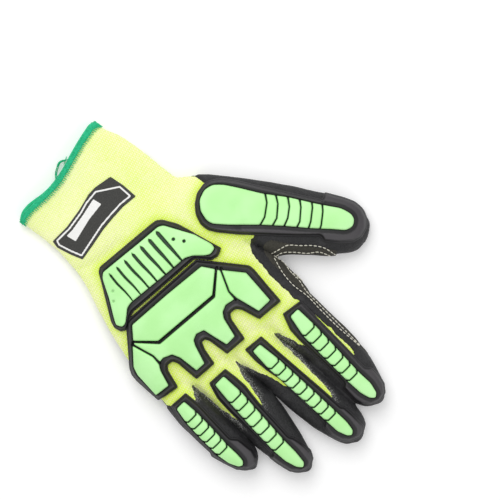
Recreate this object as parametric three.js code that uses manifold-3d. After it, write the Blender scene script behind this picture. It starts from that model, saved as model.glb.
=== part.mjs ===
// An impact glove for the right hand, lying palm down: a knitted liner, a rubber-dipped palm and
// moulded guards on its back. Millimetres. +Y points to the fingertips, -X to the thumb side and
// +Z up from the surface under the palm. The origin is on the underside, below the knuckles' rear.
import * as THREE from 'three';
import { mergeVertices } from 'three/addons/utils/BufferGeometryUtils.js';
import Module from 'manifold-3d';

const wasm = await Module();
wasm.setup();

// Sizes of the hand, fingers and thumb
const handLength = 170; // from the cuff's edge to the finger crotches
const palmWidth = 116; // across the knuckles
const palmHeight = 20; // through the palm as it lies
const fingerHeight = 15.5;
const fingerGap = 1; // what four fingers side by side leave of the palm's width, each
const fingerWidth = palmWidth / 4 - fingerGap;
const littleWidth = 0.732 * fingerWidth;
const indexLength = 82;
const middleLength = 90.5;
const ringLength = 84.5;
const littleLength = 64;
const thumbLength = 103;
const thumbWidth = 38;
const thumbHeight = 18;

// Walls, layers and the gap that neighbours keep
const knitWall = 1.5;
const coatThickness = 1;
const patchThickness = 0.9;
const hemThickness = 1;
const labelThickness = 0.8;
const clearance = 0.3;

// Guards: a black frame with lime pads sunk in it
const frameRise = 4.6;
const pocketFloor = 2.2;
const padRise = 5.8;
const plateMargin = 5.2; // knit that shows on each side of the plate
const plateWidth = palmWidth - 2 * plateMargin;
const plateLength = 60.5;
const barWidth = 0.812 * plateWidth;
const barLength = 49.3;
const guardSpacing = 1; // knit that shows between the plate and the bar

// Trim
const hemWidth = 5;
const labelWidth = 57;
const labelLength = 21.5;
const grooveWidth = 1.5;
const grooveDepth = 1.7;
const slotWidth = 1.8;
const slotDepth = 2.4;
const dimpleDiameter = 2.4;
const grooveArch = 1.6; // how far a groove's ends lie behind its middle
const cornerRadius = 10; // the corners of the outlines round by shares of it

// Places, as shares of the hand
const originAt = 0.725; // of the hand's length, from the cuff
const dipHeight = 0.35 * palmHeight; // how far the rubber climbs the sides of the hand
const wristDip = 0.2 * palmHeight; // and the sides of the wrist
const coatEnd = 0.18; // where the rubber ends on the palm, from the cuff
const plateLeft = -0.353;
const plateFront = 0.962;
const barLeft = -0.312;
const labelLeft = -0.168;
const labelGap = 12;
const barHorn = 0.24; // the share of the bar's length that reaches up beside the plate

// Smoothness of the solids
const handSides = 18;
const fingerSides = 10;
const thumbSides = 12;
const arcSteps = 1;

// The layers outside the liner: where the rubber starts and ends, and what lies over it
const coatInside = clearance;
const coatOutside = coatInside + coatThickness;
const overCoat = coatOutside + clearance;
const bed = coatOutside; // height of the liner's underside over the surface

// An area of the glove in plan: a share of its width runs across it and one of its length along it
function area(x, y, width, length, lean = 0) {
  const turn = THREE.MathUtils.degToRad(lean);
  const along = new THREE.Vector2(-Math.sin(turn), Math.cos(turn));
  const across = new THREE.Vector2(Math.cos(turn), Math.sin(turn));
  const point = (shareAcross, shareAlong) => new THREE.Vector2(x, y)
    .addScaledVector(across, shareAcross * width)
    .addScaledVector(along, shareAlong * length);
  return { point, length };
}

const hand = area(0, -originAt * handLength, palmWidth, handLength);

function limb(shareAcross, shareAlong, width, length, lean) {
  const root = hand.point(shareAcross, shareAlong);
  return area(root.x, root.y, width, length, lean);
}

const thumb = limb(-0.428, 0.505, thumbWidth, thumbLength, 37);
const fingers = {
  index: limb(-0.333, 1.008, fingerWidth, indexLength, 1.4),
  middle: limb(-0.047, 1.002, fingerWidth, middleLength, 3.7),
  ring: limb(0.207, 0.985, fingerWidth, ringLength, -0.7),
  little: limb(0.453, 0.952, littleWidth, littleLength, 1.5),
};

// Sections of the hand from the cuff to the crotches. The skew swings the thumb's end of a section
// back, so that the cuff and the row of crotches run aslant
const handRows = [
  { at: 0.000, left: -0.306, right: 0.375, skew: -0.090, top: 0.62 },
  { at: 0.105, left: -0.362, right: 0.362, skew: -0.060, top: 0.60 },
  { at: 0.225, left: -0.390, right: 0.348, skew: -0.025, top: 0.64 },
  { at: 0.319, left: -0.405, right: 0.353, skew: 0.000, top: 0.74 },
  { at: 0.400, left: -0.440, right: 0.378, skew: 0.000, top: 0.85 },
  { at: 0.490, left: -0.462, right: 0.418, skew: 0.000, top: 0.94 },
  { at: 0.600, left: -0.474, right: 0.466, skew: 0.000, top: 1.00 },
  { at: 0.740, left: -0.462, right: 0.506, skew: 0.010, top: 0.99 },
  { at: 0.854, left: -0.484, right: 0.520, skew: 0.050, top: 0.94 },
  { at: 0.925, left: -0.484, right: 0.524, skew: 0.080, top: 0.86 },
  { at: 0.962, left: -0.478, right: 0.524, skew: 0.098, top: 0.74 },
  { at: 0.987, left: -0.460, right: 0.512, skew: 0.100, top: 0.50 },
];

// Sections of a finger from inside the hand to the tip: it bends a little off the surface
const fingerRows = [
  { at: -0.220, width: 0.62, top: 0.70, lift: 0.12 },
  { at: 0.030, width: 0.99, top: 1.06, lift: 0.04 },
  { at: 0.440, width: 1.01, top: 1.04, lift: 0.08 },
  { at: 0.720, width: 0.94, top: 0.97, lift: 0.06 },
  { at: 0.870, width: 0.80, top: 0.88, lift: 0.02 },
  { at: 0.955, width: 0.60, top: 0.74, lift: 0.00 },
  { at: 1.000, width: 0.32, top: 0.48, lift: 0.00 },
];

// Sections of the thumb from inside the palm to the tip
const thumbRows = [
  { at: -0.350, left: -0.20, right: 0.78, top: 0.52, lift: 0.10 },
  { at: -0.175, left: -0.43, right: 0.92, top: 0.93, lift: 0.05 },
  { at: 0.050, left: -0.51, right: 0.90, top: 1.02, lift: 0.04 },
  { at: 0.370, left: -0.50, right: 0.72, top: 1.00, lift: 0.04 },
  { at: 0.487, left: -0.50, right: 0.62, top: 0.98, lift: 0.03 },
  { at: 0.600, left: -0.48, right: 0.56, top: 0.97, lift: 0.02 },
  { at: 0.780, left: -0.45, right: 0.52, top: 0.94, lift: 0.02 },
  { at: 0.896, left: -0.40, right: 0.45, top: 0.87, lift: 0.00 },
  { at: 0.964, left: -0.28, right: 0.36, top: 0.70, lift: 0.00 },
  { at: 1.005, left: -0.12, right: 0.20, top: 0.44, lift: 0.00 },
];

// Soft dents in the back of the cuff and wrist, where the empty knit sags
const dents = [
  { across: 0.22, along: 0.365, wide: 0.30, long: 0.055, turn: 12, depth: 0.08 },
  { across: -0.29, along: 0.330, wide: 0.16, long: 0.060, turn: -35, depth: 0.09 },
  { across: 0.10, along: 0.105, wide: 0.34, long: 0.050, turn: 5, depth: 0.06 },
];

function dentDepth(place) {
  return dents.reduce((sum, dent) => {
    const centre = hand.point(dent.across, dent.along);
    const away = place.clone().sub(centre);
    away.rotateAround(new THREE.Vector2(), THREE.MathUtils.degToRad(-dent.turn));
    const reach = (away.x / (dent.wide * palmWidth)) ** 2 + (away.y / (dent.long * handLength)) ** 2;
    return sum + dent.depth * palmHeight * Math.exp(-reach);
  }, 0);
}

// The sections of a limb: where each one's ends lie in plan, its underside, top and height
function handSections() {
  return handRows.map((row) => ({
    left: hand.point(row.left, row.at).add(new THREE.Vector2(0, row.skew * palmWidth / 2)),
    right: hand.point(row.right, row.at).sub(new THREE.Vector2(0, row.skew * palmWidth / 2)),
    low: bed,
    high: bed + row.top * palmHeight,
  }));
}

function fingerSections(finger) {
  return fingerRows.map((row) => ({
    left: finger.point(-row.width / 2, row.at),
    right: finger.point(row.width / 2, row.at),
    low: bed + row.lift * fingerHeight,
    high: bed + (row.top + row.lift) * fingerHeight,
  }));
}

function thumbSections() {
  return thumbRows.map((row) => ({
    left: thumb.point(row.left, row.at),
    right: thumb.point(row.right, row.at),
    low: bed + row.lift * thumbHeight,
    high: bed + (row.top + row.lift) * thumbHeight,
  }));
}

// One ring of a section, grown outwards by a layer: a pillow with a flat underside
const widestShare = 0.42;
const roundness = 2.5;
const flattening = 1.15;

function ring(section, layer, sides) {
  const centre = section.left.clone().lerp(section.right, 0.5);
  const half = section.right.clone().sub(section.left).multiplyScalar(0.5);
  half.setLength(half.length() + layer);
  const widest = THREE.MathUtils.lerp(section.low, section.high, widestShare);
  const floor = section.low - layer;
  return Array.from({ length: sides }, (_, step) => {
    const angle = 2 * Math.PI * step / sides;
    const across = Math.sign(Math.cos(angle)) * Math.abs(Math.cos(angle)) ** (2 / roundness);
    const rise = Math.sign(Math.sin(angle)) * Math.abs(Math.sin(angle)) ** (2 / roundness);
    const place = centre.clone().addScaledVector(half, across);
    const crown = section.high - dentDepth(place) + layer - widest;
    const sag = flattening * (widest - floor);
    const height = rise > 0 ? widest + rise * crown : Math.max(floor, widest + rise * sag);
    return new THREE.Vector3(place.x, place.y, height);
  });
}

// Sections with both ends moved out along the limb, so that a layer covers the ends too
function lengthened(sections, startBy, endBy) {
  const moved = sections.map((section) => ({ ...section }));
  const shift = (index, from, distance) => {
    const here = sections[index];
    const there = sections[from];
    const step = here.left.clone().add(here.right).sub(there.left).sub(there.right).setLength(distance);
    moved[index].left = here.left.clone().add(step);
    moved[index].right = here.right.clone().add(step);
  };
  if (startBy) shift(0, 1, startBy);
  if (endBy) shift(sections.length - 1, sections.length - 2, endBy);
  return moved;
}

// Turning a closed mesh into a solid, and back
const weldDistance = 1e-4;

function solid(geometry) {
  const bare = geometry.clone();
  bare.deleteAttribute('normal');
  bare.deleteAttribute('uv');
  const merged = mergeVertices(bare, weldDistance);
  return new wasm.Manifold(new wasm.Mesh({
    numProp: 3,
    vertProperties: new Float32Array(merged.attributes.position.array),
    triVerts: new Uint32Array(merged.index.array),
  }));
}

function geometryOf(body) {
  const mesh = body.getMesh();
  const geometry = new THREE.BufferGeometry();
  geometry.setAttribute('position', new THREE.BufferAttribute(new Float32Array(mesh.vertProperties), 3));
  geometry.setIndex(new THREE.BufferAttribute(new Uint32Array(mesh.triVerts), 1));
  geometry.computeVertexNormals();
  return geometry;
}

// A closed loft through rings of equal count
function loft(rings) {
  const sides = rings[0].length;
  const last = (rings.length - 1) * sides;
  const faces = [];
  for (let start = 0; start < last; start += sides) {
    for (let side = 0; side < sides; side += 1) {
      const here = start + side;
      const next = start + (side + 1) % sides;
      faces.push(here, next + sides, next, here, here + sides, next + sides);
    }
  }
  for (let side = 1; side + 1 < sides; side += 1) {
    faces.push(0, side, side + 1, last, last + side + 1, last + side);
  }
  const geometry = new THREE.BufferGeometry().setFromPoints(rings.flat());
  geometry.setIndex(faces);
  return solid(geometry);
}

// The form of the whole glove, grown by a layer or, for a layer below 0, shrunk to its hollow
function limbForm(sections, layer, sides, startBy = 0) {
  return loft(lengthened(sections, startBy, layer).map((section) => ring(section, layer, sides)));
}

function gloveForm(layer, mouth = 0) {
  const palm = limbForm(handSections(), layer, handSides, mouth);
  return Object.values(fingers)
    .map((finger) => limbForm(fingerSections(finger), layer, fingerSides))
    .concat(limbForm(thumbSections(), layer, thumbSides))
    .reduce((whole, part) => whole.add(part), palm);
}

// An outline in plan, from rows of corners, each with the share of the corner radius that rounds it
function outline(place, rows) {
  return rows.map((row) => ({ at: place.point(row.across, row.along), round: (row.round ?? 0) * cornerRadius }));
}

// The outline moved out by a distance, or in by a negative one; its corners run anticlockwise
function grown(corners, distance) {
  return corners.map((corner, index) => {
    const before = corners.at(index - 1).at;
    const after = corners[(index + 1) % corners.length].at;
    const normalOf = (from, to) => new THREE.Vector2(to.y - from.y, from.x - to.x).normalize();
    const first = normalOf(before, corner.at);
    const second = normalOf(corner.at, after);
    const reach = distance / (1 + first.dot(second));
    return { at: corner.at.clone().addScaledVector(first.add(second), reach), round: corner.round };
  });
}

const longestCut = 0.45; // of a side, taken by the rounding of each of its corners

function prism(corners, low, high) {
  const shape = new THREE.Shape();
  corners.forEach((corner, index) => {
    const before = corners.at(index - 1).at.clone().sub(corner.at);
    const after = corners[(index + 1) % corners.length].at.clone().sub(corner.at);
    const cut = (side) => Math.min(corner.round, side.length() * longestCut);
    const start = corner.at.clone().addScaledVector(before.clone().normalize(), cut(before));
    const end = corner.at.clone().addScaledVector(after.clone().normalize(), cut(after));
    if (index === 0) shape.moveTo(start.x, start.y);
    else shape.lineTo(start.x, start.y);
    if (corner.round > 0) shape.quadraticCurveTo(corner.at.x, corner.at.y, end.x, end.y);
  });
  shape.closePath();
  const body = new THREE.ExtrudeGeometry(shape, {
    depth: high - low,
    bevelEnabled: false,
    curveSegments: arcSteps,
  });
  return solid(body.translate(0, 0, low));
}

const above = 3 * palmHeight; // higher than anything on the glove
const below = -palmHeight;

// Where the back stays bare knit: the palm's window and a tongue up each finger
const windowRows = [
  { across: -0.720, along: -0.10 },
  { across: 0.720, along: -0.10 },
  { across: 0.720, along: 0.920 },
  { across: 0.517, along: 0.922 },
  { across: 0.345, along: 0.951 },
  { across: 0.082, along: 0.995 },
  { across: -0.177, along: 1.010 },
  { across: -0.405, along: 1.010 },
  { across: -0.396, along: 0.855 },
  { across: -0.410, along: 0.754 },
  { across: -0.466, along: 0.707 },
  { across: -0.500, along: 0.707 },
  { across: -0.517, along: 0.407 },
  { across: -0.448, along: 0.337 },
  { across: -0.720, along: 0.260 },
];
const tongues = {
  index: [
    { across: 0.60, along: -0.20 },
    { across: 0.60, along: 0.00 },
    { across: 0.32, along: 0.29 },
    { across: 0.10, along: 0.60 },
    { across: -0.38, along: 0.60 },
    { across: -0.38, along: 0.02 },
    { across: -0.30, along: -0.20 },
  ],
  middle: [
    { across: 0.52, along: -0.20 },
    { across: 0.52, along: 0.00 },
    { across: 0.40, along: 0.12 },
    { across: 0.22, along: 0.32 },
    { across: 0.10, along: 0.60 },
    { across: -0.32, along: 0.68 },
    { across: -0.45, along: 0.45 },
    { across: -0.51, along: 0.05 },
    { across: -0.51, along: -0.20 },
  ],
  ring: [
    { across: 0.51, along: -0.20 },
    { across: 0.51, along: 0.00 },
    { across: 0.46, along: 0.15 },
    { across: 0.39, along: 0.38 },
    { across: 0.00, along: 0.50 },
    { across: -0.34, along: 0.37 },
    { across: -0.40, along: 0.13 },
    { across: -0.52, along: 0.03 },
    { across: -0.52, along: -0.20 },
  ],
  little: [
    { across: 0.45, along: -0.20 },
    { across: 0.31, along: 0.00 },
    { across: 0.20, along: 0.30 },
    { across: -0.20, along: 0.30 },
    { across: -0.32, along: 0.115 },
    { across: -0.57, along: 0.00 },
    { across: -0.57, along: -0.20 },
  ],
};

// The rubber sits lower round the wrist, and ends before the cuff
const wristRows = [
  { across: -0.720, along: -0.10 },
  { across: 0.720, along: -0.10 },
  { across: 0.720, along: 0.45 },
  { across: -0.425, along: 0.43 },
  { across: -0.425, along: 0.28 },
  { across: -0.720, along: 0.25 },
];
const cuffRows = [
  { across: -1, along: -0.5 },
  { across: 1, along: -0.5 },
  { across: 1, along: coatEnd },
  { across: -1, along: coatEnd },
];

function knitWindow(growth) {
  const cut = (place, rows) => prism(grown(outline(place, rows), growth), dipHeight - growth, above);
  const tongueCuts = Object.entries(tongues).map(([name, rows]) => cut(fingers[name], rows));
  const wristCut = prism(grown(outline(hand, wristRows), growth), wristDip - growth, above);
  const cuffCut = prism(grown(outline(hand, cuffRows), growth), below, above);
  return tongueCuts.reduce((whole, cutOut) => whole.add(cutOut),
    cut(hand, windowRows).add(wristCut).add(cuffCut));
}

// Liner: the hand with the thumb, and four finger tubes that join it just past the crotches
const mouthReach = 4 * knitWall; // how far the hollow runs out past the cuff's edge
const linerWall = gloveForm(0).subtract(gloveForm(-knitWall, mouthReach));
const tubeStart = 0.05; // of the finger's length
const tubeEnd = 1.1; // past its tip
const tubeReach = 0.52; // of the finger's width, to each side

function tubeRoom(finger, growth) {
  const corners = outline(finger, [
    { across: -tubeReach, along: tubeStart },
    { across: tubeReach, along: tubeStart },
    { across: tubeReach, along: tubeEnd },
    { across: -tubeReach, along: tubeEnd },
  ]);
  return prism(grown(corners, growth), below, above);
}

const linerHand = Object.values(fingers)
  .reduce((body, finger) => body.subtract(tubeRoom(finger, clearance)), linerWall);

// Rubber coating
const coatSeat = gloveForm(coatInside);
const coatTop = gloveForm(coatOutside);
const coatBody = coatTop.subtract(coatSeat).subtract(knitWindow(0));

// Everything that lies on the glove keeps clear of the liner and of the rubber
const seat = coatSeat.add(gloveForm(overCoat).subtract(knitWindow(-clearance)));

// A guard: a frame that follows the glove's surface, with a pocket for its pads
function guardBase(frame, pads, seams, low) {
  const skirt = prism(frame, low, above).intersect(gloveForm(frameRise)).subtract(seat);
  const holes = pads.map((pad) => prism(grown(pad, clearance), below, above))
    .concat(seams.map((seam) => prism(seam, below, above)));
  const pocket = holes.reduce((whole, hole) => whole.add(hole));
  return skirt.subtract(pocket.subtract(gloveForm(pocketFloor)));
}

function guardPad(pad, cuts) {
  const body = prism(pad, palmHeight / 2, above)
    .intersect(gloveForm(padRise))
    .subtract(gloveForm(pocketFloor + clearance));
  return cuts.reduce((whole, cut) => whole.subtract(cut), body);
}

// A groove across a pad, arched towards the tip
function groove(place, at, left, right) {
  const halfWidth = grooveWidth / 2 / place.length;
  const behind = grooveArch / place.length;
  const stations = [{ share: 0, back: behind }, { share: 0.5, back: 0 }, { share: 1, back: behind }];
  const edge = (side) => stations.map(({ share, back }) => ({
    across: THREE.MathUtils.lerp(left, right, share),
    along: at - back + side * halfWidth,
  }));
  return prism(outline(place, edge(-1).concat(edge(1).reverse())), below, above)
    .subtract(gloveForm(padRise - grooveDepth));
}

// Finger guards: rows run from the knuckle to the tip, with a wider black cap over the tip
const fingerGuards = {
  index: {
    frame: [
      { along: 0.005, left: -0.380, right: 0.136 },
      { along: 0.110, left: -0.367, right: 0.286 },
      { along: 0.390, left: -0.336, right: 0.317 },
      { along: 0.700, left: -0.308, right: 0.342 },
      { along: 0.760, left: -0.401, right: 0.427 },
      { along: 0.930, left: -0.370, right: 0.410 },
      { along: 1.018, left: -0.160, right: 0.210 },
    ],
    pad: { start: 0.045, startWidth: 0.24, first: 0.220, neck: 0.36, end: 0.720, endWidth: 0.32, tip: 0.955 },
    centre: [-0.075, 0.020],
    grooves: 7,
  },
  middle: {
    frame: [
      { along: -0.011, left: -0.306, right: 0.176 },
      { along: 0.110, left: -0.330, right: 0.228 },
      { along: 0.308, left: -0.344, right: 0.190 },
      { along: 0.727, left: -0.324, right: 0.248 },
      { along: 0.780, left: -0.357, right: 0.370 },
      { along: 0.930, left: -0.340, right: 0.340 },
      { along: 1.012, left: -0.140, right: 0.140 },
    ],
    pad: { start: 0.040, startWidth: 0.22, first: 0.195, neck: 0.32, end: 0.750, endWidth: 0.32, tip: 0.955 },
    centre: [-0.030, 0.005],
    grooves: 9,
  },
  ring: {
    frame: [
      { along: 0.008, left: -0.239, right: 0.234 },
      { along: 0.118, left: -0.297, right: 0.355 },
      { along: 0.367, left: -0.275, right: 0.356 },
      { along: 0.711, left: -0.244, right: 0.338 },
      { along: 0.765, left: -0.340, right: 0.433 },
      { along: 0.912, left: -0.340, right: 0.363 },
      { along: 1.014, left: -0.140, right: 0.100 },
    ],
    pad: { start: 0.055, startWidth: 0.26, first: 0.225, neck: 0.35, end: 0.725, endWidth: 0.33, tip: 0.955 },
    centre: [0.030, 0.060],
    grooves: 7,
  },
  little: {
    frame: [
      { along: -0.005, left: -0.250, right: 0.350 },
      { along: 0.162, left: -0.314, right: 0.530 },
      { along: 0.395, left: -0.270, right: 0.545 },
      { along: 0.640, left: -0.230, right: 0.560 },
      { along: 0.706, left: -0.363, right: 0.610 },
      { along: 0.893, left: -0.380, right: 0.400 },
      { along: 1.012, left: -0.170, right: 0.100 },
    ],
    pad: { start: 0.055, startWidth: 0.31, first: 0.210, neck: 0.45, end: 0.660, endWidth: 0.43, tip: 0.920 },
    centre: [0.110, 0.110],
    grooves: 6,
  },
};

function fingerFrame(finger, rows) {
  const rounds = [0.15, 0.3, 0.3, 0.15, 0.2, 0.5, 0.4];
  const side = (name) => rows.map((row, index) => ({
    across: row[name],
    along: row.along,
    round: rounds[index],
  }));
  return outline(finger, side('right').concat(side('left').reverse()));
}

const grooveReach = 0.62; // of the pad's width, to each side of its middle
const padShoulder = { back: 0.05, width: 0.9 }; // from the tip, and of the pad's width at its end
const padTip = 0.5; // of that width

function fingerPad(finger, guard) {
  const { start, startWidth, first, neck, end, endWidth, tip } = guard.pad;
  const middle = (at) => THREE.MathUtils.mapLinear(at, start, tip, guard.centre[0], guard.centre[1]);
  const stations = [
    { at: start, width: startWidth, round: 0.12 },
    { at: first, width: neck, round: 0.3 },
    { at: end, width: endWidth, round: 0.3 },
    { at: tip - padShoulder.back, width: padShoulder.width * endWidth, round: 0.3 },
    { at: tip, width: padTip * endWidth, round: 0.25 },
  ];
  const side = (sign) => stations.map((station) => ({
    across: middle(station.at) + sign * station.width / 2,
    along: station.at,
    round: station.round,
  }));
  const corners = outline(finger, side(1).concat(side(-1).reverse()));
  const grooves = Array.from({ length: guard.grooves }, (_, index) => {
    const at = THREE.MathUtils.lerp(first, end, index / (guard.grooves - 1));
    return groove(finger, at, middle(at) - neck * grooveReach, middle(at) + neck * grooveReach);
  });
  return { corners, grooves };
}

// Knuckle plate: the frame and its four pads, in shares of the plate
const plateTop = hand.point(plateLeft, plateFront).add(new THREE.Vector2(plateWidth / 2, 0));
const plate = area(plateTop.x, plateTop.y - plateLength / 2, plateWidth, plateLength);
const plateRows = [
  { across: -0.484, along: 0.488, round: 0.1 },
  { across: -0.500, along: -0.003, round: 0.4 },
  { across: -0.287, along: -0.450, round: 0.4 },
  { across: 0.272, along: -0.501, round: 0.3 },
  { across: 0.314, along: -0.468, round: 0.3 },
  { across: 0.500, along: -0.096, round: 0.4 },
  { across: 0.496, along: 0.324, round: 0.12 },
  { across: 0.342, along: 0.359, round: 0.1 },
  { across: 0.297, along: 0.122, round: 0.25 },
  { across: 0.229, along: 0.126, round: 0.3 },
  { across: 0.220, along: 0.440, round: 0.1 },
  { across: 0.077, along: 0.460, round: 0.1 },
  { across: 0.042, along: 0.192, round: 0.24 },
  { across: -0.006, along: 0.192, round: 0.24 },
  { across: -0.021, along: 0.483, round: 0.1 },
  { across: -0.165, along: 0.499, round: 0.1 },
  { across: -0.208, along: 0.198, round: 0.3 },
  { across: -0.278, along: 0.198, round: 0.3 },
  { across: -0.309, along: 0.460, round: 0.1 },
];
const platePads = {
  index: [
    { across: -0.449, along: 0.017, round: 0.3 },
    { across: -0.358, along: -0.190, round: 0.15 },
    { across: -0.301, along: 0.050, round: 0.2 },
    { across: -0.303, along: 0.149, round: 0.2 },
    { across: -0.347, along: 0.397, round: 0.15 },
    { across: -0.438, along: 0.417, round: 0.15 },
  ],
  centre: [
    { across: -0.288, along: 0.116, round: 0.2 },
    { across: -0.290, along: -0.017, round: 0.15 },
    { across: -0.345, along: -0.226, round: 0.1 },
    { across: -0.211, along: -0.033, round: 0.2 },
    { across: 0.229, along: -0.089, round: 0.2 },
    { across: 0.339, along: -0.284, round: 0.1 },
    { across: 0.301, along: -0.050, round: 0.1 },
    { across: 0.305, along: 0.033, round: 0.1 },
    { across: 0.234, along: 0.053, round: 0.25 },
    { across: 0.201, along: 0.132, round: 0.3 },
    { across: 0.182, along: 0.377, round: 0.12 },
    { across: 0.106, along: 0.393, round: 0.12 },
    { across: 0.073, along: 0.165, round: 0.2 },
    { across: 0.045, along: 0.102, round: 0.2 },
    { across: 0.002, along: 0.106, round: 0.2 },
    { across: -0.033, along: 0.165, round: 0.25 },
    { across: -0.055, along: 0.413, round: 0.12 },
    { across: -0.134, along: 0.417, round: 0.12 },
    { across: -0.162, along: 0.165, round: 0.2 },
    { across: -0.197, along: 0.116, round: 0.25 },
  ],
  rear: [
    { across: -0.345, along: -0.266, round: 0.12 },
    { across: -0.282, along: -0.383, round: 0.3 },
    { across: 0.267, along: -0.446, round: 0.25 },
    { across: 0.331, along: -0.329, round: 0.12 },
    { across: 0.220, along: -0.129, round: 0.2 },
    { across: -0.206, along: -0.069, round: 0.2 },
  ],
  little: [
    { across: 0.371, along: 0.274, round: 0.12 },
    { across: 0.337, along: 0.091, round: 0.15 },
    { across: 0.320, along: 0.050, round: 0.1 },
    { across: 0.314, along: -0.050, round: 0.1 },
    { across: 0.355, along: -0.274, round: 0.1 },
    { across: 0.455, along: -0.083, round: 0.2 },
    { across: 0.460, along: 0.255, round: 0.12 },
  ],
};

// The seams between the pads open into one pocket
const plateSeams = [
  [
    { across: -0.320, along: 0.120 },
    { across: -0.320, along: 0.050 },
    { across: -0.362, along: -0.200 },
    { across: -0.340, along: -0.225 },
    { across: -0.275, along: 0.020 },
    { across: -0.275, along: 0.110 },
  ],
  [
    { across: -0.340, along: -0.245 },
    { across: -0.320, along: -0.262 },
    { across: -0.200, along: -0.090 },
    { across: 0.213, along: -0.150 },
    { across: 0.320, along: -0.330 },
    { across: 0.338, along: -0.300 },
    { across: 0.235, along: -0.070 },
    { across: -0.216, along: -0.012 },
  ],
  [
    { across: 0.332, along: -0.290 },
    { across: 0.354, along: -0.268 },
    { across: 0.322, along: 0.000 },
    { across: 0.295, along: 0.000 },
    { across: 0.295, along: -0.050 },
  ],
];

// Wrist bar: its slots open towards the knuckles and taper to a point
const bar = area(
  hand.point(barLeft, 0).x + barWidth / 2,
  plate.point(0, -0.5).y - guardSpacing - (0.5 - barHorn) * barLength,
  barWidth,
  barLength,
);
const barRows = [
  { across: -0.499, along: 0.456, round: 0.12 },
  { across: -0.431, along: -0.081, round: 0.3 },
  { across: -0.308, along: -0.422, round: 0.5 },
  { across: 0.299, along: -0.499, round: 0.4 },
  { across: 0.501, along: 0.193, round: 0.3 },
  { across: 0.475, along: 0.308, round: 0.24 },
  { across: 0.331, along: 0.217, round: 0.6 },
  { across: -0.281, along: 0.278, round: 0.4 },
  { across: -0.398, along: 0.501, round: 0.3 },
];
const barPadRows = [
  { across: -0.462, along: 0.385, round: 0.1 },
  { across: -0.427, along: 0.081, round: 0.2 },
  { across: -0.293, along: -0.329, round: 0.35 },
  { across: 0.267, along: -0.418, round: 0.3 },
  { across: 0.471, along: 0.183, round: 0.2 },
  { across: 0.436, along: 0.272, round: 0.2 },
  { across: 0.308, along: 0.122, round: 0.3 },
  { across: -0.275, along: 0.203, round: 0.3 },
  { across: -0.380, along: 0.377, round: 0.2 },
];
const slotCount = 7;
const firstSlot = { mouthAcross: -0.221, tipAcross: -0.238, tipAlong: -0.304 };
const lastSlot = { mouthAcross: 0.256, tipAcross: 0.232, tipAlong: -0.345 };
const slotMouth = 0.3; // along, past the pad's edge
const slotPoint = 0.05; // the length over which a slot closes to its point
const dimpleRows = [
  { across: -0.337, along: 0.045 },
  { across: -0.291, along: -0.071 },
  { across: 0.358, along: -0.051 },
  { across: 0.308, along: -0.152 },
];
const dimpleSides = 8;

function barCuts() {
  const cutFloor = gloveForm(padRise - slotDepth);
  const slots = Array.from({ length: slotCount }, (_, index) => {
    const share = index / (slotCount - 1);
    const between = (name) => THREE.MathUtils.lerp(firstSlot[name], lastSlot[name], share);
    const mouthAcross = between('mouthAcross');
    const tipAcross = between('tipAcross');
    const tipAlong = between('tipAlong');
    const half = slotWidth / 2 / barWidth;
    return outline(bar, [
      { across: mouthAcross - half, along: slotMouth },
      { across: tipAcross - half, along: tipAlong + slotPoint },
      { across: tipAcross, along: tipAlong },
      { across: tipAcross + half, along: tipAlong + slotPoint },
      { across: mouthAcross + half, along: slotMouth },
    ]);
  });
  const dimples = dimpleRows.map((row) => {
    const centre = bar.point(row.across, row.along);
    return Array.from({ length: dimpleSides }, (_, side) => {
      const angle = 2 * Math.PI * side / dimpleSides;
      const spoke = new THREE.Vector2(Math.cos(angle), Math.sin(angle));
      return { at: centre.clone().addScaledVector(spoke, dimpleDiameter / 2), round: 0 };
    });
  });
  return slots.concat(dimples).map((corners) => prism(corners, below, above).subtract(cutFloor));
}

// Thumb guard: frame with a cap over the tip, and a long pad with grooves in its outer half
const thumbFrameRows = [
  { across: -0.375, along: -0.049, round: 0.3 },
  { across: -0.022, along: -0.086, round: 0.4 },
  { across: 0.362, along: -0.035, round: 0.3 },
  { across: 0.463, along: 0.071, round: 0.5 },
  { across: 0.381, along: 0.387, round: 0.4 },
  { across: 0.267, along: 0.730, round: 0.1 },
  { across: 0.351, along: 0.765, round: 0.1 },
  { across: 0.315, along: 0.905, round: 0.5 },
  { across: 0.034, along: 1.020, round: 0.6 },
  { across: -0.316, along: 0.975, round: 0.6 },
  { across: -0.470, along: 0.857, round: 0.5 },
  { across: -0.470, along: 0.712, round: 0.1 },
  { across: -0.375, along: 0.730, round: 0.1 },
  { across: -0.465, along: 0.325, round: 0.5 },
  { across: -0.465, along: 0.033, round: 0.3 },
];
const thumbPadRows = [
  { across: 0.300, along: 0.031, round: 0.2 },
  { across: 0.207, along: 0.350, round: 0.4 },
  { across: 0.133, along: 0.718, round: 0.4 },
  { across: 0.115, along: 0.888, round: 0.3 },
  { across: -0.090, along: 0.933, round: 0.3 },
  { across: -0.254, along: 0.868, round: 0.3 },
  { across: -0.300, along: 0.496, round: 0.4 },
  { across: -0.320, along: 0.326, round: 0.4 },
  { across: -0.372, along: 0.017, round: 0.3 },
  { across: -0.253, along: -0.038, round: 0.3 },
  { across: 0.094, along: -0.046, round: 0.3 },
];
const thumbGrooves = 6;
const firstGroove = { at: 0.365, left: -0.309, right: 0.220 };
const lastGroove = { at: 0.721, left: -0.260, right: 0.143 };

function thumbCuts() {
  return Array.from({ length: thumbGrooves }, (_, index) => {
    const share = index / (thumbGrooves - 1);
    const between = (name) => THREE.MathUtils.lerp(firstGroove[name], lastGroove[name], share);
    return groove(thumb, between('at'), between('left'), between('right'));
  });
}

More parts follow.
